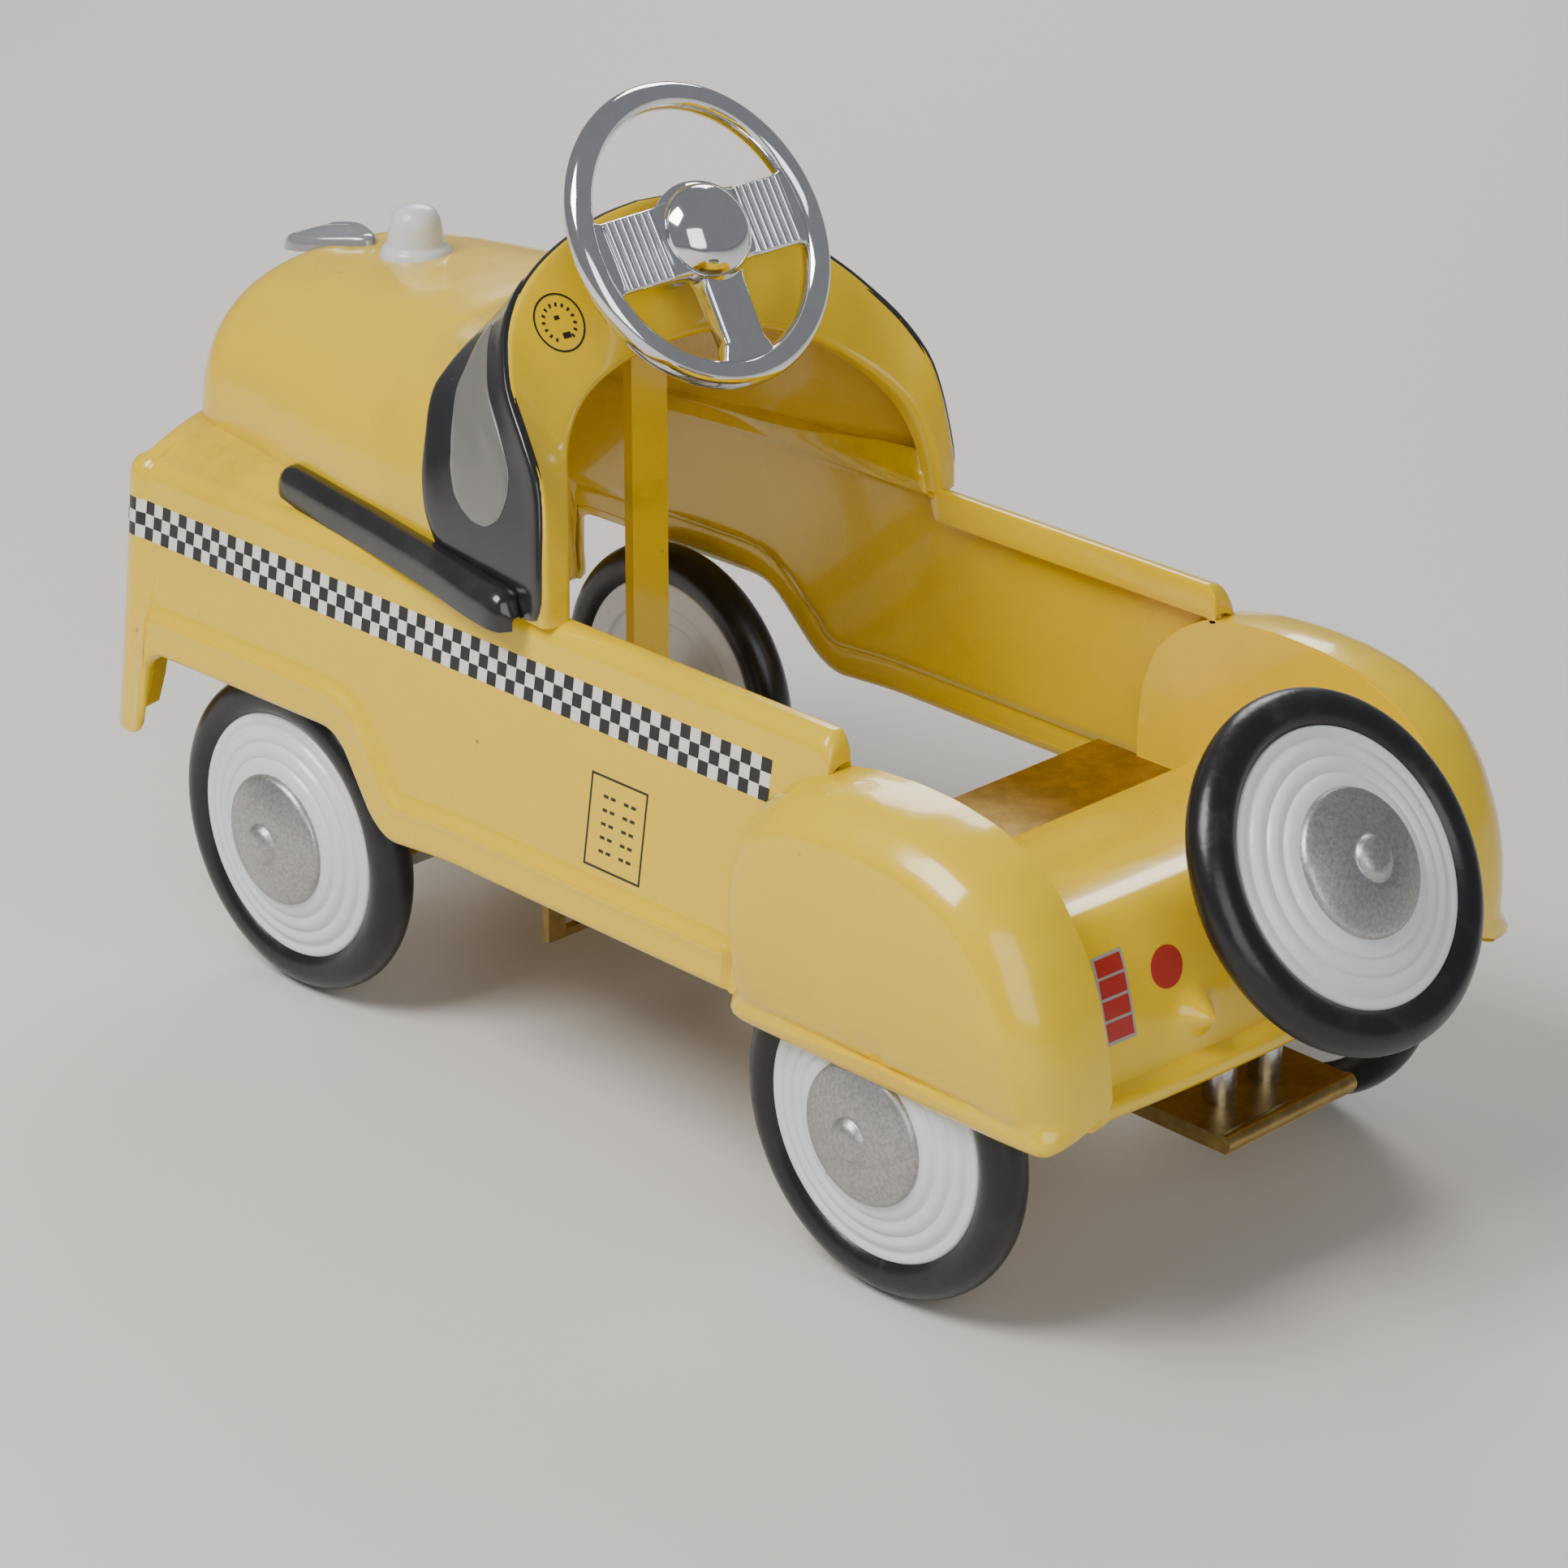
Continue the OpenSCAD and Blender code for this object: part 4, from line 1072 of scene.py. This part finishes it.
def flake_metal(name, color, rough, flake, bump_height, metallic=1.0, depth=0.28):
    """Metal whose brightness and roughness vary in small grains."""
    material = bpy.data.materials.new(name)
    material.use_nodes = True
    tree = material.node_tree
    shader = tree.nodes["Principled BSDF"]
    place = tree.nodes.new("ShaderNodeTexCoord").outputs["Object"]
    effect = tree.nodes.new("ShaderNodeGroup")
    effect.node_tree = grains
    tree.links.new(place, effect.inputs["Position"])
    effect.inputs["Grain Scale"].default_value = flake
    shade = tree.nodes.new("ShaderNodeMix")
    shade.data_type = "RGBA"
    shade.inputs["A"].default_value = (*[c * (1 - depth) for c in color], 1)
    shade.inputs["B"].default_value = (*color, 1)
    tree.links.new(effect.outputs["Shade"], shade.inputs["Factor"])
    tree.links.new(shade.outputs["Result"], shader.inputs["Base Color"])
    varied = math_node(tree, "ADD", rough, math_node(tree, "MULTIPLY", effect.outputs["Cloud"], rough * 0.6))
    tree.links.new(varied, shader.inputs["Roughness"])
    shader.inputs["Metallic"].default_value = metallic
    bump = tree.nodes.new("ShaderNodeBump")
    bump.inputs["Strength"].default_value = 0.35
    bump.inputs["Distance"].default_value = bump_height
    tree.links.new(effect.outputs["Grain"], bump.inputs["Height"])
    tree.links.new(bump.outputs["Normal"], shader.inputs["Normal"])
    return material


white = enamel(
    "white_enamel", (0.78, 0.79, 0.80), (0.35, 0.34, 0.33), 0.33, dirt_and_shade_amount=0.16, wave=0.5)
silver = flake_metal("silver_paint", (0.50, 0.49, 0.48), 0.30, 2600.0, 0.00008, 0.85)
wheels = [
    ("front_left", "wheel_front_left", (28.4, -46.7, 17), (1, 0, 0)),
    ("front_right", "wheel_front_right", (-28.4, -46.7, 17), (-1, 0, 0)),
    ("rear_left", "rear_axle", (30.5, 40.3, 17), (1, 0, 0)),
    ("rear_right", "rear_axle", (-30.5, 40.3, 17), (-1, 0, 0)),
    ("spare", "body", (0, 69.2, 43.1), (0, 0.8329, 0.5534))]
for label, body, place, axis in wheels:
    names = ["spare_tyre", "spare_rim", "spare_hubcap"] if label == "spare" else [
        kind + "_" + label for kind in ("tyre", "rim", "hubcap")]
    dress(lathe("tyre_piece_" + label, tyre_profile, place, axis, 96), body, "tyre_rubber", rubber, names[0])
    dress(lathe("disc_piece_" + label, disc_profile, place, axis, 96), body, "white_enamel", white, names[1])
    dress(lathe("cap_piece_" + label, cap_profile, place, axis, 72), body, "silver_paint", silver, names[2])


# ------------------------------------------------------------------------------------------
# Steering wheel. One chromed casting, pressed on the end of the column: a round rim, a domed
# hub, two broad spokes with seven cast ribs across each, and a narrower spoke below with two
# long grooves.
# ------------------------------------------------------------------------------------------
helm_place = Vector((0, -14.55, 82.5))
helm_axis = Vector((0, 0.848048, 0.529919))
helm_up = Vector((0, -0.529919, 0.848048))
helm_across = Vector((1, 0, 0))
chrome = flake_metal("chrome_plate", (0.80, 0.81, 0.83), 0.06, 260.0, 0.00002, depth=0.06)


def helm_point(x, up, out):
    """A point in the steering wheel's own frame."""
    return tuple(helm_place + helm_across * x + helm_up * up + helm_axis * out)


ring_profile = [
    (14.17 + 1.4 * math.cos(math.radians(a)), 1.4 * math.sin(math.radians(a)))
    for a in range(-180, 181, 12)]
ring = lathe("helm_ring", ring_profile, helm_place, helm_axis, 128)
dress(ring, "steering", "chrome_plate", chrome, "steering_wheel")
hub_profile = soft([
    (0, 4.3), (1.6, 4.2), (3.0, 3.75), (4.2, 2.9), (5.0, 1.7), (5.35, 0.4), (5.2, -0.6),
    (4.3, -1.3), (3.1, -1.6), (3.0, -2.6), (0, -2.6)][::-1], 0.6)
dress(lathe("helm_hub", hub_profile, helm_place, helm_axis, 80), "steering", "chrome_plate", chrome)


def spoke(name, start, end, widths, tops, across, along, grooves=0.0):
    """A cast spoke from the hub to the rim, rounded at its edges, along one way of the wheel."""
    columns = []
    for k in range(41):
        d = start + (end - start) * k / 40
        half, top = height_on(widths, d), height_on(tops, d)
        column = []
        for j in range(32):
            a = 2 * math.pi * j / 32
            c, v = math.cos(a), math.sin(a)
            w = half * math.copysign(abs(c) ** 0.35, c)
            out = (top if v > 0 else 1.1) * math.copysign(abs(v) ** 0.45, v) - 0.1
            if grooves and v > 0.2:
                out -= grooves * math.exp(-((abs(w) - 1.0) / 0.42) ** 2)
            column.append(tuple(helm_place + along * d + across * w + helm_axis * out))
        columns.append(column + column[:1])
    piece = skin(name, columns)
    build = bmesh.new()
    build.from_mesh(piece.data)
    if build.calc_volume(signed=True) < 0:
        bmesh.ops.reverse_faces(build, faces=build.faces)
    build.to_mesh(piece.data)
    build.free()
    dress(settle(piece, 50), "steering", "chrome_plate", chrome)


side_widths = [(3.0, 4.0), (5.0, 3.7), (11.4, 3.6), (12.6, 4.0), (13.8, 4.7)]
side_tops = [(3.0, 1.9), (5.0, 1.35), (5.8, 1.0), (11.3, 0.8), (12.2, 0.9), (13.8, 0.7)]
spoke("helm_spoke_left", 3.0, 13.8, side_widths, side_tops, helm_up, helm_across)
spoke("helm_spoke_right", 3.0, 13.8, side_widths, side_tops, helm_up, -helm_across)
low_widths = [(3.0, 3.2), (5.0, 2.6), (11.0, 2.5), (12.6, 3.2), (13.8, 4.6)]
low_tops = [(3.0, 2.0), (5.5, 1.4), (12.0, 1.1), (13.8, 0.8)]
spoke("helm_spoke_low", 3.0, 13.8, low_widths, low_tops, helm_across, -helm_up, 0.45)

rib_tree = bpy.data.node_groups.new("rib_row", "GeometryNodeTree")
rib_tree.interface.new_socket("Geometry", in_out="INPUT", socket_type="NodeSocketGeometry")
rib_sizes = {}
for label, kind in (("Count", "Int"), ("Pitch", "Float"), ("Radius", "Float"), ("Length", "Float"),
                    ("Place", "Vector"), ("Turn", "Vector"), ("Finish", "Material")):
    rib_sizes[label] = rib_tree.interface.new_socket(
        label, in_out="INPUT", socket_type="NodeSocket" + kind).identifier
rib_tree.interface.new_socket("Geometry", in_out="OUTPUT", socket_type="NodeSocketGeometry")
rib_in, rib_out = rib_tree.nodes.new("NodeGroupInput"), rib_tree.nodes.new("NodeGroupOutput")
rib_step = rib_tree.nodes.new("ShaderNodeCombineXYZ")
rib_line = rib_tree.nodes.new("GeometryNodeMeshLine")
rib_bar = rib_tree.nodes.new("GeometryNodeMeshCylinder")
rib_bar.inputs["Vertices"].default_value = 20
rib_each = rib_tree.nodes.new("GeometryNodeInstanceOnPoints")
rib_real = rib_tree.nodes.new("GeometryNodeRealizeInstances")
rib_move = rib_tree.nodes.new("GeometryNodeTransform")
rib_paint = rib_tree.nodes.new("GeometryNodeSetMaterial")
for source, target in (
        (rib_in.outputs["Pitch"], rib_step.inputs["X"]),
        (rib_step.outputs[0], rib_line.inputs["Offset"]),
        (rib_in.outputs["Count"], rib_line.inputs["Count"]),
        (rib_in.outputs["Radius"], rib_bar.inputs["Radius"]),
        (rib_in.outputs["Length"], rib_bar.inputs["Depth"]),
        (rib_line.outputs[0], rib_each.inputs["Points"]),
        (rib_bar.outputs["Mesh"], rib_each.inputs["Instance"]),
        (rib_each.outputs[0], rib_move.inputs[0]),
        (rib_in.outputs["Place"], rib_move.inputs["Translation"]),
        (rib_in.outputs["Turn"], rib_move.inputs["Rotation"]),
        (rib_move.outputs[0], rib_real.inputs[0]),
        (rib_real.outputs[0], rib_paint.inputs["Geometry"]),
        (rib_in.outputs["Finish"], rib_paint.inputs["Material"]),
        (rib_paint.outputs[0], rib_out.inputs[0])):
    rib_tree.links.new(source, target)


def rib_row(name, count, pitch, radius, length, place, turn, finish):
    """A row of equal round ribs in millimetres, made by the rib_row tree."""
    row = bpy.data.objects.new(name, bpy.data.meshes.new(name))
    bpy.context.collection.objects.link(row)
    builder = row.modifiers.new("ribs", "NODES")
    builder.node_group = rib_tree
    for label, value in (("Count", count), ("Pitch", pitch * MM), ("Radius", radius * MM),
                         ("Length", length * MM), ("Place", tuple(p * MM for p in place)),
                         ("Turn", turn), ("Finish", finish)):
        builder[rib_sizes[label]] = value
    return settle(row, 40)


helm_tilt, rib_stand = math.radians(32), 0.82
for label, first in (("left", 5.75), ("right", -11.15)):
    ribs = rib_row(
        "helm_ribs_" + label, 7, 0.9, 0.4, 6.7, helm_point(first, 0, rib_stand), (helm_tilt, 0, 0), chrome)
    dress(ribs, "steering", "chrome_plate", None)


# ------------------------------------------------------------------------------------------
# Linkage, axles, plates and pedals. Turned and pressed steel under the casting, with bright zinc
# on shafts, pins and arms, and yellow passivated zinc on the pressed plates and straps. The
# pedals are ribbed black rubber blocks.
# ------------------------------------------------------------------------------------------
bright_zinc = flake_metal("bright_zinc", (0.62, 0.63, 0.64), 0.20, 900.0, 0.00006)
gold_zinc = flake_metal("yellow_zinc", (0.42, 0.29, 0.10), 0.30, 500.0, 0.00008)
finishes = {
    "bright_zinc": bright_zinc, "yellow_zinc": gold_zinc, "chrome_plate": chrome,
    "yellow_enamel": yellow, "black_rubber": rubber}
for sub in frame["record"]["subparts"]:
    node, finish = frame["nodes"][sub["node"]], finishes.get(sub["material_slot"])
    if finish is not None:
        node.data.materials.clear()
        node.data.materials.append(finish)
pedal_x, pedal_half, pedal_top, rod_reach = 12, 3.4, 22.55, 54
for label, hand, crank_y in (("left", 1, 35.3), ("right", -1, 45.3)):
    ribs = rib_row(
        "pedal_ribs_" + label, 5, 1.7, 0.32, 2.7,
        (hand * pedal_x - pedal_half, crank_y - rod_reach, pedal_top), (math.radians(90), 0, 0), rubber)
    dress(ribs, "pedal_rod_" + label, "black_rubber", None)
